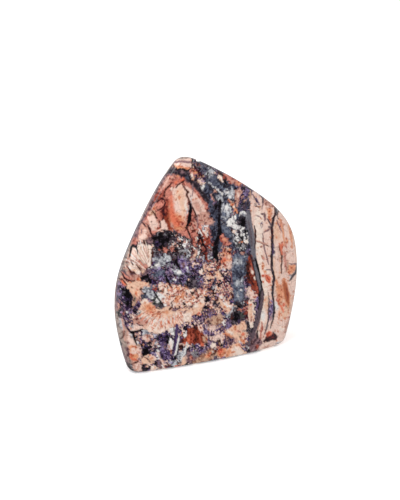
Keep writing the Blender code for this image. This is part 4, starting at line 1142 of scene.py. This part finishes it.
# The deep purple ground under the cup, with its bars.
DEEP_PURPLE = [
    Patch("ink", "142 348,148 347,152 352,148 355,143 358,141 354"), Spot("violet", 146, 345, 1.8, 2.4, 0.9),
    Spot("umber", 142, 344, 1.2, 2, 0.7), Spot("slate", 153, 352, 2.2, 1.6, 1),
    Spot("ink", 149, 343, 2.6, 1.6, 0.8), Patch("rose", "152 345,153 341,155 340,154 345,152 347", 0.5),
    Spot("pearl", 156, 343, 0.9, 2.2, 0.5, 10), Spot("pearl", 154, 335, 1.2, 1.6, 0.5, -20),
    Spot("ash", 156, 337, 1, 1.4, 0.5, -20), Spot("violet", 158, 335, 2.4, 1.6, 0.8),
    Spot("ink", 158, 342, 1.4, 2.4), Spot("white", 159, 346, 1.1, 1, 0.5, 20),
    Spot("white", 158, 351, 1.2, 1.6), Spot("white", 157, 356, 1.5, 1.3, 0.5, 20),
    Spot("ink", 161, 348, 1.6, 1.6), Spot("lavender", 154, 354, 2.6, 0.9, 0.5, 20),
    Patch("peach", "141 360,144 357,147 355,150 355,154 358,154 361,152 364,149 363,146 364,142 365,"
        "141 363", 0.6),
    Vein("umber", "144.6 357.6 0.8,147.4 359.4 1.5,150.4 361.6 1.4"), Spot("ash", 148, 357, 1.3, 1.1),
    Spot("tan", 153, 361, 1.2, 1.2, 0.6), Spot("coal", 140, 360, 1, 1),
    Patch("ink", "141 366,146 364,150 366,150 370,144 371,141 369", 0.9),
    Spot("violet", 147, 367, 1.8, 1.4, 0.8), Spot("violet", 141, 372, 2.6, 1.4, 0.8),
    Spot("lavender", 149, 371, 1.6, 1, 0.6),
    Patch("cream", "151 365,154 366,157 369,155 371,152 371,150 368", 0.6),
    Spot("umber", 137, 372, 1.6, 1.4, 0.7), Patch("ink", "152 364,156 360,159 364,158 368,154 366", 0.7),
    Patch("mauve", "157 360,161 359,164 363,162 367,158 366"), Spot("lavender", 160, 363, 1.2, 1.8, 0.6),
    Spot("tan", 159, 368, 1.8, 1, 0.5, 20),
    Vein("blush", "160 358 0.9,162.4 361 1.6,164.2 364 1.4,163 367 1", 0.5),
    Spot("white", 162.8, 366.4, 0.8, 1, 0.4), Spot("violet", 164, 339, 2.6, 3.6, 1.2),
    Spot("ink", 162, 337, 1.4, 1.2), Spot("ink", 168, 337, 1.6, 3, 0.7),
    Spot("violet", 166, 335, 2, 1.6, 0.9), Spot("ink", 167, 343, 1.6, 2.6, 0.6),
    Spot("lavender", 162, 345, 1, 1.2), Spot("rose", 169, 347, 0.9, 2),
    Patch("lavender", "160 350,163 347,166 348,165 352,162 353", 0.7),
    Patch("lavender", "163 357,167 354,169 356,166 359,163 360", 0.6),
    Spot("violet", 166, 351, 1.8, 2.2, 0.8), Spot("plum", 168, 358, 2.2, 2.6, 0.6, 20),
    Spot("ink", 162, 357, 2, 2.6, 0.7, -20), Spot("violet", 169, 353, 1.8, 1.4, 0.7),
    Spot("mauve", 165, 347, 1.6, 1, 0.6),
    Patch("white", "170 328,175 327,175 333,175 336,172 336,170 331", 0.5),
    Vein("umber", "173.4 326 0.6,173.6 331.6 0.9"), Spot("ash", 172, 336, 2, 0.9, 0.4, 14),
    Vein("ink", "170.4 336 0.7,172.6 338.2 1.2,174.8 338.6 0.8"),
    Patch("white", "170 338,174 340,174 345,173 350,170 348,169 343", 0.5),
    Spot("cream", 171, 345, 0.9, 3.6, 0.7), Spot("rose", 171, 352, 1.6, 2, 0.7, 10),
    Vein("lavender", "178.6 328 0.8,178.4 336 1,177 344 0.8", 0.5),
    Patch("umber", "179 345,183 344,185 348,183 350,180 350"),
    Patch("ink", "173 355,177 355,176 360,179 364,176 363,173 359", 0.6),
    Patch("pearl", "179 351,182 351,185 348,186 344,187 346,186 352,184 356,181 361,178 361,176 358", 0.7),
    Spot("coal", 181, 358, 1.6, 1, 0.6, 30), Spot("ash", 179, 353, 0.9, 1.6, 0.5, 20),
    Spot("ink", 180, 361.6, 1.2, 0.8), Spot("umber", 178, 363, 1.4, 0.9, 0.5, 20),
    Patch("pearl", "168 361,174 360,177 364,176 367,170 365", 0.9), Spot("lavender", 171, 362, 1.6, 1, 0.6),
    Spot("maroon", 169, 366, 4, 0.9, 0.4, 4), Spot("brick", 166, 367, 1.6, 0.8, 0.4),
    Spot("ink", 171.6, 367, 1.8, 0.6, 0.3), Vein("coral", "175 366.4 0.8,180 366.2 1,184 365.6 0.5"),
    Patch("peach", "181 362,184 357,187 358,187 361,184 365,181 365", 0.7),
    Vein("ink", "183 365.6 1,185.4 364 1.8,188 362.4 1.6,190.6 361.4 0.9"),
    Patch("rust", "181 340,183 338,187 332,190 328,194 326,198 328,202 331,205 337,206 342,202 345,198 344,"
        "192 344,188 341,185 344,182 343", 0.7),
    Patch("coral", "186 338,190 335,191 340,189 342,187 340", 1),
    Vein("brick", "192 330 1,193 336 2,192.4 342 1.2", 0.6),
    Vein("brick", "198 332 0.9,199.6 337 2,200 342 1.2", 0.6),
    Vein("umber", "194.6 330 0.7,195.6 336 1.3,195 342 0.9", 0.5), Spot("umber", 195, 328, 2, 1.4, 0.6, 10),
    Spot("ink", 193.6, 328.2, 1.2, 0.8), Patch("blush", "198 328,201 324,203 326,203 330,200 332", 0.7),
    Spot("brick", 201, 328, 1, 1.4, 0.6), Patch("tan", "203 337,207 336,208 341,205 343,203 341", 0.7),
    Spot("apricot", 207, 339, 1.2, 1.4, 0.6), Spot("coral", 185, 343, 1, 1.3),
    Spot("umber", 182, 341, 1.4, 1.6), Patch("white", "184 334,186 332,187 335,184 338,183 336", 0.5),
    Spot("apricot", 182, 333, 1, 1.6), Spot("blush", 183, 331, 1.2, 1.2), Spot("ink", 184, 328, 1.4, 1.1),
    Spot("coal", 189.6, 343.4, 2.6, 0.7, 0.4, 6), Spot("moss", 194, 345, 2.2, 1.6, 0.7),
    Spot("violet", 198, 344, 1.6, 1, 0.6), Patch("cream", "187 343,190 345,191 346,188 348,187 346", 0.5),
    Spot("ink", 188, 350, 2.2, 1.6, 0.6, -20), Spot("ink", 195, 347, 2, 1.2, 0.5, 20),
    Spot("lavender", 197, 346, 1.3, 1.8), Patch("coral", "201 343,204 344,204 346,201 346", 0.5),
    Spot("ink", 206, 344, 1.3, 3.4, 0.5, 10), Spot("ink", 201, 349, 2.4, 0.9, 0.4),
]

# The edge of the base in the middle, with the red patch above it.
LOW_MIDDLE = [
    Patch("mauve", "186 352,192 350,199 354,203 349,209 349,211 352,206 356,200 360,190 363,186 360", 0.9),
    Patch("ash", "191 351,196 350,199 356,196 358,192 355", 0.9), Spot("salmon", 191, 358, 1.6, 2.2, 0.8),
    Spot("violet", 201, 353, 1.3, 3, 0.6, 10), Spot("plum", 205, 352, 1.4, 1.6, 0.6),
    Spot("lavender", 203, 351, 1.4, 1.6, 0.6), Vein("brick", "191.4 357 0.8,192.6 361 0.9"),
    Patch("tan", "193 362,199 358,204 354,209 350,215 350,218 352,216 358,208 361,200 363,192 365"),
    Spot("apricot", 208, 356, 3, 2, 1.2, -20),
    Vein("umber", "210 357 0.7,212.4 354.6 1.6,215 353.6 1.4,216.4 351 1.6", 0.5),
    Spot("coral", 210, 353, 1, 1.4, 0.6), Spot("white", 213, 352, 1, 1),
    Spot("ash", 215, 357, 1.6, 1.2, 0.7),
    Patch("apricot", "217 351,219 348,224 348,227 350,224 355,221 358,218 358,217 354", 0.7),
    Spot("coral", 221, 351, 2.6, 2, 0.9, -10), Spot("coral", 220, 353, 1.6, 1.6, 0.7),
    Spot("maroon", 216, 351, 1.2, 1.3), Spot("brick", 218, 348, 1.2, 1),
    Spot("brick", 221, 356.8, 1.3, 0.8, 0.4, 20), Spot("coal", 218.4, 357.4, 1, 0.8),
    Patch("peach", "224 357,226 351,229 347,232 345,236 343,238 342,241 347,245 351,247 354,240 356,"
        "230 358", 0.6),
    Patch("cream", "231 350,236 346,240 348,244 353,240 356,233 356", 1.4),
    Patch("apricot", "226 352,230 348,231 352,228 357,225 357", 1.2),
    Spot("apricot", 237, 345, 1.2, 1.4, 0.7), Spot("brick", 231, 347, 0.9, 1.4, 0.5, 20),
    Spot("apricot", 234, 352, 1.8, 1.2, 0.9), Patch("plum", "208 341,214 340,216 342,214 344,209 344"),
    Patch("cream", "209 345,212 343,216 344,215 347,211 348", 0.6),
    Patch("blush", "212 338,218 334,224 337,223 340,216 341", 0.9), Spot("ink", 219, 341, 1.6, 2.4, 0.8),
    Spot("ink", 219, 345, 1.8, 1.6, 0.8), Spot("tan", 220, 343, 1.1, 1.6), Spot("umber", 220, 341, 0.8, 1),
    Spot("ink", 224, 346, 0.9, 1), Spot("violet", 225, 343, 2.4, 2, 1),
    Spot("rose", 228, 345, 1.6, 1.4, 0.7), Patch("mauve", "226 336,232 337,235 340,232 344,227 343", 0.9),
    Spot("plum", 232, 339, 2, 1.4, 0.6, -20), Spot("ink", 240, 336.8, 1, 0.8, 0.5, 30),
    Spot("rose", 236, 339, 1.4, 1.6, 0.7), Patch("apricot", "240 338,245 340,246 344,243 344,241 342", 0.7),
    Spot("white", 239.2, 341.4, 0.9, 0.7),
    Vein("plum", "239 342.6 0.8,241.6 345.4 2,244.4 349 2,246.6 352 1.6,248.6 352.6 1.2", 0.5),
    Patch("ink", "247 350,251 350,251 353,248 353", 0.5), Spot("ash", 248, 347, 1.6, 2.2, 0.7, 20),
    Spot("white", 248.6, 347.6, 0.9, 0.8),
    Patch("mauve", "251 334,256 332,262 342,262 350,252 354,249 346", 1),
    Spot("umber", 252, 343, 1.2, 2.2, 0.6), Spot("brick", 257, 347, 1.6, 2.2, 0.9),
    Spot("ink", 257, 337, 1.2, 2.6, 0.6),
    Patch("blush", "262 344,270 342,277 341,284 334,290 332,284 346,262 351,258 351,260 346", 0.9),
    Spot("rose", 266, 347, 3.4, 1.2, 0.9, -10), Spot("pearl", 278, 343, 3, 1.2, 0.9, -12),
]

FACE_MARKS = (
    TIP_AND_JASPER + SLATE_BAND + PALE_BANDS + LONG_VEINS + DOME_AND_FAN + CENTRE + CUP + FOOT + LOW_LEFT
    + DEEP_PURPLE + LOW_MIDDLE)

# The veins of these regions run on whole over the broken ground, and wander less.
UNBROKEN = TIP_AND_JASPER + PALE_BANDS + LONG_VEINS + DOME_AND_FAN + LOW_LEFT
CALM_REACH = 0.5

# The sizes of shards and speckles in pixels, the grain above which rock is broken up,
# and how many pixels a shard shifts for each 1 of grain above it.
SHARD_PIXELS = 1.9
SPECKLE_PIXELS = 1.7
FIRM_GRAIN = 0.28
LOOSENESS = 5.0


def paint_face(places):
    """The front's rock at places in the photograph's pixels.

    Grainy kinds of rock are broken up: each small shard takes what lies a little
    to one side of it, so that neighbouring kinds mix along their edges.
    """
    ground = np.tile(rock_values(ROCKS["plum"]), (len(places), 1))
    wandered = wandering(places)
    whole = lay(FACE_MARKS, wandered, ground.copy())
    shard, _ = shards(places / SHARD_PIXELS, salt=21)
    shift = np.stack([hashed(shard, salt=31), hashed(shard, salt=32)], axis=-1) * 2 - 1
    loose = np.clip(whole[:, 7:8] - FIRM_GRAIN, 0, 1) * LOOSENESS
    broken = lay(FACE_MARKS, wandered + shift * loose, ground)
    broken = speckle(places, broken, SPECKLE_PIXELS)
    calm = wandering(places, reach=CALM_REACH)
    return lay([mark for mark in FACE_MARKS if isinstance(mark, Vein) and mark in UNBROKEN], calm, broken)


# The rock that the photograph does not show, on the sides and the back. It goes on in
# the same sheets from side to side: broken rock with jasper above it at the pointed
# end, a slate band, and pale bands. Sizes are millimetres.
JASPER = ("salmon", "blush", "peach", "salmon", "rose", "coral", "apricot", "cream", "brick", "mauve")
BAND = ("slate", "steel", "coal", "pearl", "slate", "ash", "plum", "salmon", "steel", "white")
PALE = ("cream", "peach", "blush", "cream", "blush", "rose", "peach", "apricot")
BRECCIA = (
    "plum", "violet", "salmon", "blush", "lavender", "ink", "peach", "mauve", "plum", "ash", "brick", "cream")
PALE_FROM, BAND_FROM, JASPER_FROM = 11.0, -3.0, 40.0
JASPER_SLOPE = 0.35
SWIRL_SPAN, SWIRL_REACH = 11, 4.5
SHEET_LEAN = (0.12, 0.10)
MIDDLE_HEIGHT = 35
CLAST_SIZE = np.array([4.2, 5.0, 7.5])
CHIP_SIZE = 1.7
CHIP_SHARE, JASPER_CHIP_SHARE = 0.28, 0.1
CLAST_EDGE, CHIP_EDGE, CHIP_GAP = 7, 4, 0.4
SHEET_WIDTH = 3.4
SHEET_WAVE, SHEET_WAVE_SPAN = 0.25, 6
STAIN_SPAN = np.array([5, 5, 11])
STAIN_CONTRAST, STAIN_LEVEL, STAIN_DEEPEST = 3, 0.5, 0.75
VEIN_WAVE, VEIN_WAVE_SPAN = 0.4, 5
VEIN_CORE, VEIN_EDGE = 0.7, 1.6
# The dark veins between the sheets, each with its place across the stone and its width.
SHEET_VEINS = ((PALE_FROM, 1.3), (PALE_FROM + 8.6, 0.5), (PALE_FROM + 14.4, 0.3), (BAND_FROM, 0.5))
HIDDEN_SPECKLE = 0.62


def paint_hidden(points):
    """The rock at points in millimetres, where the photograph does not show it."""
    swirl = np.stack([layered_noise(points / SWIRL_SPAN, 3, salt=60 + axis) for axis in range(3)], axis=-1)
    bent = points + SWIRL_REACH * swirl
    across = bent[:, 0] + SHEET_LEAN[0] * bent[:, 1] + SHEET_LEAN[1] * (bent[:, 2] - MIDDLE_HEIGHT)
    clast, clast_gap = shards(bent / CLAST_SIZE, salt=70)
    chip, chip_gap = shards(bent / CHIP_SIZE, salt=80)
    chance = hashed(clast, salt=91)
    mixed = np.where(hashed(chip, salt=92) < CHIP_SHARE, hashed(chip, salt=93), chance)
    painted = pick(BRECCIA, mixed)
    high = bent[:, 2] + JASPER_SLOPE * across > JASPER_FROM
    jasper = pick(JASPER, np.where(hashed(chip, salt=94) < JASPER_CHIP_SHARE, mixed, chance))
    painted = np.where(high[:, None], jasper, painted)
    band = across > BAND_FROM
    painted = np.where(band[:, None], pick(BAND, mixed), painted)
    pale = across > PALE_FROM
    wave = SHEET_WAVE * layered_noise(bent / SHEET_WAVE_SPAN, 2, salt=77)
    sheet = np.floor((across - PALE_FROM) / SHEET_WIDTH + wave)
    sheet_chance = hashed(np.stack([sheet, sheet * 0], axis=-1), salt=95)
    painted = np.where(pale[:, None], pick(PALE, sheet_chance), painted)
    depth = layered_noise(bent / STAIN_SPAN, 3, salt=130) * STAIN_CONTRAST - STAIN_LEVEL
    stain = np.clip(depth, 0, STAIN_DEEPEST) * pale
    painted = painted + (rock_values(ROCKS["coral"]) - painted) * stain[:, None]

    # What is left of the rock's own colour beside the dark gaps and veins.
    clean = np.where(pale, 1.0, np.clip(clast_gap * CLAST_EDGE, 0, 1))
    clean = clean * np.where(high | pale, 1, np.clip(CHIP_GAP + chip_gap * CHIP_EDGE, 0, 1))
    for place, width in SHEET_VEINS:
        wave = VEIN_WAVE * layered_noise(bent / VEIN_WAVE_SPAN, 2, salt=int(place * 3) + 90)
        away_from_vein = np.abs(across - place + wave) / width
        clean = np.minimum(clean, np.clip((away_from_vein - VEIN_CORE) * VEIN_EDGE, 0, 1))
    crevice = rock_values(ROCKS["coal"])
    painted = painted + (crevice - painted) * (1 - clean)[:, None]
    return speckle(points, painted, HIDDEN_SPECKLE)


def node(tree, kind, place, *fed, **named):
    """A new node. What is fed to its inputs, in order or by name, is linked or set.

    A name that is no input is one of the node's own properties.
    """
    made = tree.nodes.new(kind)
    made.location = place
    for name, value in named.items():
        if name not in made.inputs:
            setattr(made, name, value)
    for name, value in [*enumerate(fed), *named.items()]:
        if isinstance(value, bpy.types.NodeSocket):
            tree.links.new(value, made.inputs[name])
        elif isinstance(name, int) or name in made.inputs:
            made.inputs[name].default_value = value
    return made


def group(name, inputs, outputs):
    """An empty node group with named sockets, and what it is given."""
    tree = bpy.data.node_groups.new(name, "ShaderNodeTree")
    for label, kind in inputs:
        tree.interface.new_socket(label, in_out="INPUT", socket_type=kind)
    for label, kind in outputs:
        tree.interface.new_socket(label, in_out="OUTPUT", socket_type=kind)
    return tree, node(tree, "NodeGroupInput", (-900, 0)).outputs


# The rock's finest grain and its hairline cracks: cells in each metre, how far the
# cracks wander, in metres, and how strongly grain changes the colour.
GRAIN_SCALE = 1900.0
GRAIN_TURN = 0.4
GRAIN_GAIN = 0.6
CRACK_SCALE = 210.0
CRACK_WIDTH = 0.035
CRACK_BEND = (0.0022, 0.0022, 0.0022)
CRACK_BEND_SCALE = 420.0
CRACK_COLOUR = (0.10, 0.035, 0.025, 1.0)
# The polish: its roughness from spot to spot, and the depth of the grain in metres.
POLISH = (0.10, 0.24)
POLISH_SCALE = 900.0
RELIEF_STRENGTH = 0.25
RELIEF_DEPTH = 0.00005
ROCK_IOR = 1.45


def broken_grain():
    """Small crisp shards, lighter and darker than the rock that they lie in."""
    tree, given = group(
        "broken_grain",
        [("Vector", "NodeSocketVector"), ("Rock", "NodeSocketColor"), ("Shard", "NodeSocketColor"),
         ("Share", "NodeSocketFloat"), ("Grain", "NodeSocketFloat"), ("Scale", "NodeSocketFloat")],
        [("Color", "NodeSocketColor"), ("Height", "NodeSocketFloat")])
    cells = node(tree, "ShaderNodeTexVoronoi", (-650, 200), Vector=given["Vector"], Scale=given["Scale"])
    chance = node(tree, "ShaderNodeSeparateColor", (-450, 200), cells.outputs["Color"])
    turned = node(
        tree, "ShaderNodeMath", (-250, 300), chance.outputs["Red"], given["Share"], operation="LESS_THAN")
    part = node(
        tree, "ShaderNodeMath", (-150, 380), turned.outputs["Value"], GRAIN_TURN, operation="MULTIPLY")
    shard = node(
        tree, "ShaderNodeMix", (-50, 200), data_type="RGBA",
        Factor=part.outputs["Value"], A=given["Rock"], B=given["Shard"])
    swing = node(tree, "ShaderNodeMath", (-250, 0), chance.outputs["Green"], 0.5, operation="SUBTRACT")
    level = node(
        tree, "ShaderNodeMath", (-50, 0), swing.outputs["Value"], given["Grain"], operation="MULTIPLY")
    gain = node(
        tree, "ShaderNodeMath", (150, 0), level.outputs["Value"], GRAIN_GAIN, 1.0, operation="MULTIPLY_ADD")
    shade = node(
        tree, "ShaderNodeVectorMath", (400, 150), operation="SCALE",
        Vector=shard.outputs["Result"], Scale=gain.outputs["Value"])
    node(tree, "NodeGroupOutput", (900, 0), Color=shade.outputs["Vector"], Height=level.outputs["Value"])
    return tree


def hair_cracks():
    """A net of hairline cracks, 1 in a crack and 0 away from it."""
    tree, given = group(
        "hair_cracks",
        [("Vector", "NodeSocketVector"), ("Scale", "NodeSocketFloat"), ("Width", "NodeSocketFloat")],
        [("Crack", "NodeSocketFloat")])
    bend = node(
        tree, "ShaderNodeTexNoise", (-700, 200), Vector=given["Vector"], Scale=CRACK_BEND_SCALE, Detail=3.0)
    push = node(
        tree, "ShaderNodeVectorMath", (-500, 200), bend.outputs["Color"], CRACK_BEND, given["Vector"],
        operation="MULTIPLY_ADD")
    net = node(
        tree, "ShaderNodeTexVoronoi", (-300, 200), feature="DISTANCE_TO_EDGE",
        Vector=push.outputs["Vector"], Scale=given["Scale"])
    thin = node(
        tree, "ShaderNodeMapRange", (0, 200), net.outputs["Distance"], 0.0, given["Width"], 1.0, 0.0,
        interpolation_type="SMOOTHSTEP")
    node(tree, "NodeGroupOutput", (900, 0), Crack=thin.outputs["Result"])
    return tree


def polished_rock():
    """Opalized rock under a polish: shards, fine grain and hairline cracks."""
    material = bpy.data.materials.new("polished_rock")
    material.use_nodes = True
    tree = material.node_tree
    shader = tree.nodes["Principled BSDF"]
    shader.inputs["IOR"].default_value = ROCK_IOR
    shader.inputs["Specular IOR Level"].default_value = 0.5
    place = node(tree, "ShaderNodeTexCoord", (-1600, 0)).outputs["Object"]
    tint, shard, finish = (
        node(tree, "ShaderNodeAttribute", (-1600, height), attribute_name=name).outputs["Color"]
        for name, height in (("tint", 400), ("shard", 200), ("finish", -300)))
    told = node(tree, "ShaderNodeSeparateColor", (-1400, -300), finish).outputs
    grain = node(
        tree, "ShaderNodeGroup", (-1000, 300), node_tree=broken_grain(), Vector=place, Rock=tint, Shard=shard,
        Share=told["Red"], Grain=told["Green"], Scale=GRAIN_SCALE)
    cracks = node(
        tree, "ShaderNodeGroup", (-1000, -200), node_tree=hair_cracks(), Vector=place, Scale=CRACK_SCALE,
        Width=CRACK_WIDTH)
    cracked = node(
        tree, "ShaderNodeMath", (-700, -200), cracks.outputs["Crack"], told["Blue"], operation="MULTIPLY")
    stained = node(
        tree, "ShaderNodeMix", (-400, 200), data_type="RGBA",
        Factor=cracked.outputs["Value"], A=grain.outputs["Color"], B=CRACK_COLOUR)
    fine = node(tree, "ShaderNodeTexNoise", (-1000, -450), Vector=place, Scale=POLISH_SCALE, Detail=4.0)
    gloss = node(tree, "ShaderNodeMapRange", (-400, -350), fine.outputs["Fac"], 0.0, 1.0, *POLISH)
    sunk = node(
        tree, "ShaderNodeMath", (-400, -550), grain.outputs["Height"], cracked.outputs["Value"],
        operation="SUBTRACT")
    relief = node(
        tree, "ShaderNodeBump", (-200, -500), Height=sunk.outputs["Value"], Strength=RELIEF_STRENGTH,
        Distance=RELIEF_DEPTH)
    tree.links.new(stained.outputs["Result"], shader.inputs["Base Color"])
    tree.links.new(gloss.outputs["Result"], shader.inputs["Roughness"])
    tree.links.new(relief.outputs["Normal"], shader.inputs["Normal"])
    return material


def stand_facing_stone(thing, azimuth, elevation, distance):
    """Stand a camera or a lamp away from the stone and turn it to the stone's middle."""
    bpy.context.scene.collection.objects.link(thing)
    back = Vector(away(azimuth, elevation))
    thing.location = CAMERA_AIM + back * distance
    thing.rotation_mode = "QUATERNION"
    thing.rotation_quaternion = (-back).to_track_quat("-Z", "Y")


def soft_light(name, azimuth, elevation, distance, size, power):
    light = bpy.data.lights.new(name, "AREA")
    light.shape = "SQUARE"
    light.size = size
    light.energy = power
    stand_facing_stone(bpy.data.objects.new(name, light), azimuth, elevation, distance)


# How bright the surroundings are: for the light, in the polish where it shows the wall
# behind the stone or the room in front of it, and to the camera. The wall fades into
# the room between these two shares of the way round to the camera's side.
SURROUNDING_LIGHT = 0.89
WALL_SHINE = 0.45
ROOM_SHINE = 0.05
WALL_ENDS = (-0.35, 0.35)
PLAIN_WHITE = 1.0


def white_surroundings():
    """White all round for the light, with a dark room in front for the polish.

    The polish shows the white wall behind the stone along its edges, and the
    unlit room on its face, so that dark rock stays dark. The camera itself sees
    plain white past the end of the floor.
    """
    world = bpy.data.worlds.new("studio")
    bpy.context.scene.world = world
    world.use_nodes = True
    tree = world.node_tree
    light = tree.nodes["Background"]
    light.inputs["Color"].default_value = (1, 1, 1, 1)
    ray = node(tree, "ShaderNodeLightPath", (-600, 200)).outputs
    heading = node(tree, "ShaderNodeTexCoord", (-1000, -100)).outputs["Generated"]
    ahead = node(
        tree, "ShaderNodeVectorMath", (-800, -100), heading, away(CAMERA_AZIMUTH, CAMERA_ELEVATION),
        operation="DOT_PRODUCT")
    shine = node(
        tree, "ShaderNodeMapRange", (-600, -100), ahead.outputs["Value"], *WALL_ENDS, WALL_SHINE, ROOM_SHINE,
        interpolation_type="SMOOTHSTEP")
    power = node(
        tree, "ShaderNodeMix", (-300, 0), data_type="FLOAT",
        Factor=ray["Is Glossy Ray"], A=SURROUNDING_LIGHT, B=shine.outputs["Result"])
    seen = node(
        tree, "ShaderNodeMix", (-100, 0), data_type="FLOAT",
        Factor=ray["Is Camera Ray"], A=power.outputs["Result"], B=PLAIN_WHITE)
    tree.links.new(seen.outputs["Result"], light.inputs["Strength"])


# The floor's size in metres, its colour, and the glow that makes it look like paper.
FLOOR_SIZE = 8.0
FLOOR_COLOUR = (0.95, 0.95, 0.95, 1)
FLOOR_GLOW = 0.3


def studio():
    """A pale matt floor, white surroundings and one soft light."""
    bpy.ops.object.select_all(action="DESELECT")
    bpy.ops.mesh.primitive_plane_add(size=FLOOR_SIZE)
    floor = bpy.context.object
    floor.name = "floor"
    paper = bpy.data.materials.new("pale_floor")
    paper.use_nodes = True
    shader = paper.node_tree.nodes["Principled BSDF"]
    shader.inputs["Base Color"].default_value = FLOOR_COLOUR
    shader.inputs["Roughness"].default_value = 0.6
    shader.inputs["Specular IOR Level"].default_value = 0.0
    shader.inputs["Emission Color"].default_value = (1, 1, 1, 1)
    shader.inputs["Emission Strength"].default_value = FLOOR_GLOW
    floor.data.materials.append(paper)
    floor.visible_glossy = False
    floor.visible_diffuse = False
    white_surroundings()
    soft_light("key", azimuth=-70, elevation=50, distance=0.5, size=0.3, power=1.0)


def on_picture(places):
    """Where places on the stone, in metres, fall in the photograph, in its pixels."""
    back = away(CAMERA_AZIMUTH, CAMERA_ELEVATION)
    right = np.array([cos(radians(CAMERA_AZIMUTH)), sin(radians(CAMERA_AZIMUTH)), 0.0])
    up = np.cross(back, right)
    offset = places - np.array(CAMERA_AIM)
    focal = CAMERA_LENS / SENSOR * PICTURE[1]
    depth = CAMERA_DISTANCE - offset @ back
    return np.stack([
        PICTURE[0] / 2 + focal * (offset @ right) / depth,
        PICTURE[1] / 2 - focal * (offset @ up) / depth,
    ], axis=-1)


# The hidden rock gives way to the face's marks where the surface turns to the camera
# between these two amounts, along a ragged edge: how ragged, over how many millimetres.
FACE_FADES = (0.10, 0.22)
RAGGEDNESS, RAGGED_SPAN = 0.10, 3.0


def paint(mesh):
    """Give every point of the mesh its rock, from the face's marks or the hidden rock."""
    places = points_of(mesh)
    eye = np.array(CAMERA_AIM) + away(CAMERA_AZIMUTH, CAMERA_ELEVATION) * CAMERA_DISTANCE
    sight = eye - places
    facing = (points_of(mesh, "normal") * sight).sum(axis=1) / np.linalg.norm(sight, axis=1)
    ragged = facing + RAGGEDNESS * layered_noise(places / MILLIMETRE / RAGGED_SPAN, 3, salt=120)
    seen = np.flatnonzero(ragged > FACE_FADES[0])
    unseen = np.flatnonzero(ragged < FACE_FADES[1])
    columns = len(rock_values(ROCKS["ink"]))
    rock = np.zeros((len(places), columns))
    hidden = np.zeros((len(places), columns))
    hidden[unseen] = paint_hidden(places[unseen] / MILLIMETRE)
    rock[seen] = paint_face(on_picture(places[seen]))
    shown = np.clip((ragged - FACE_FADES[0]) / (FACE_FADES[1] - FACE_FADES[0]), 0, 1)[:, None]
    rock = hidden + (rock - hidden) * shown
    finish = np.stack([rock[:, 3], rock[:, 7], rock[:, 8]], axis=-1)
    for name, values in (("tint", rock[:, :3]), ("shard", rock[:, 4:7]), ("finish", finish)):
        layer = mesh.attributes.new(name, "FLOAT_COLOR", "POINT")
        padded = np.concatenate([np.clip(values, 0, 1), np.ones((len(values), 1))], axis=1)
        layer.data.foreach_set("color", padded.ravel())


def fit_box(mesh, box):
    """Bring the finished points exactly to the solid's box, side by side."""
    places = points_of(mesh)
    low, high = places.min(axis=0), places.max(axis=0)
    to_low, to_high = np.array(box[0]), np.array(box[1])
    move_points(mesh, to_low + (places - low) * (to_high - to_low) / (high - low))


def photograph_camera():
    lens = bpy.data.cameras.new("camera")
    lens.lens = CAMERA_LENS
    lens.sensor_width = SENSOR
    lens.clip_start = 0.01
    camera = bpy.data.objects.new("camera", lens)
    stand_facing_stone(camera, CAMERA_AZIMUTH, CAMERA_ELEVATION, CAMERA_DISTANCE)
    bpy.context.scene.camera = camera


photograph_camera()
stone = ground_stone()
fit_box(stone.data, CAD_BOX)
paint(stone.data)
stone.data.materials.append(polished_rock())
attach(stone, "root")
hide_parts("stone")
studio()
bpy.context.scene.view_settings.view_transform = "Standard"
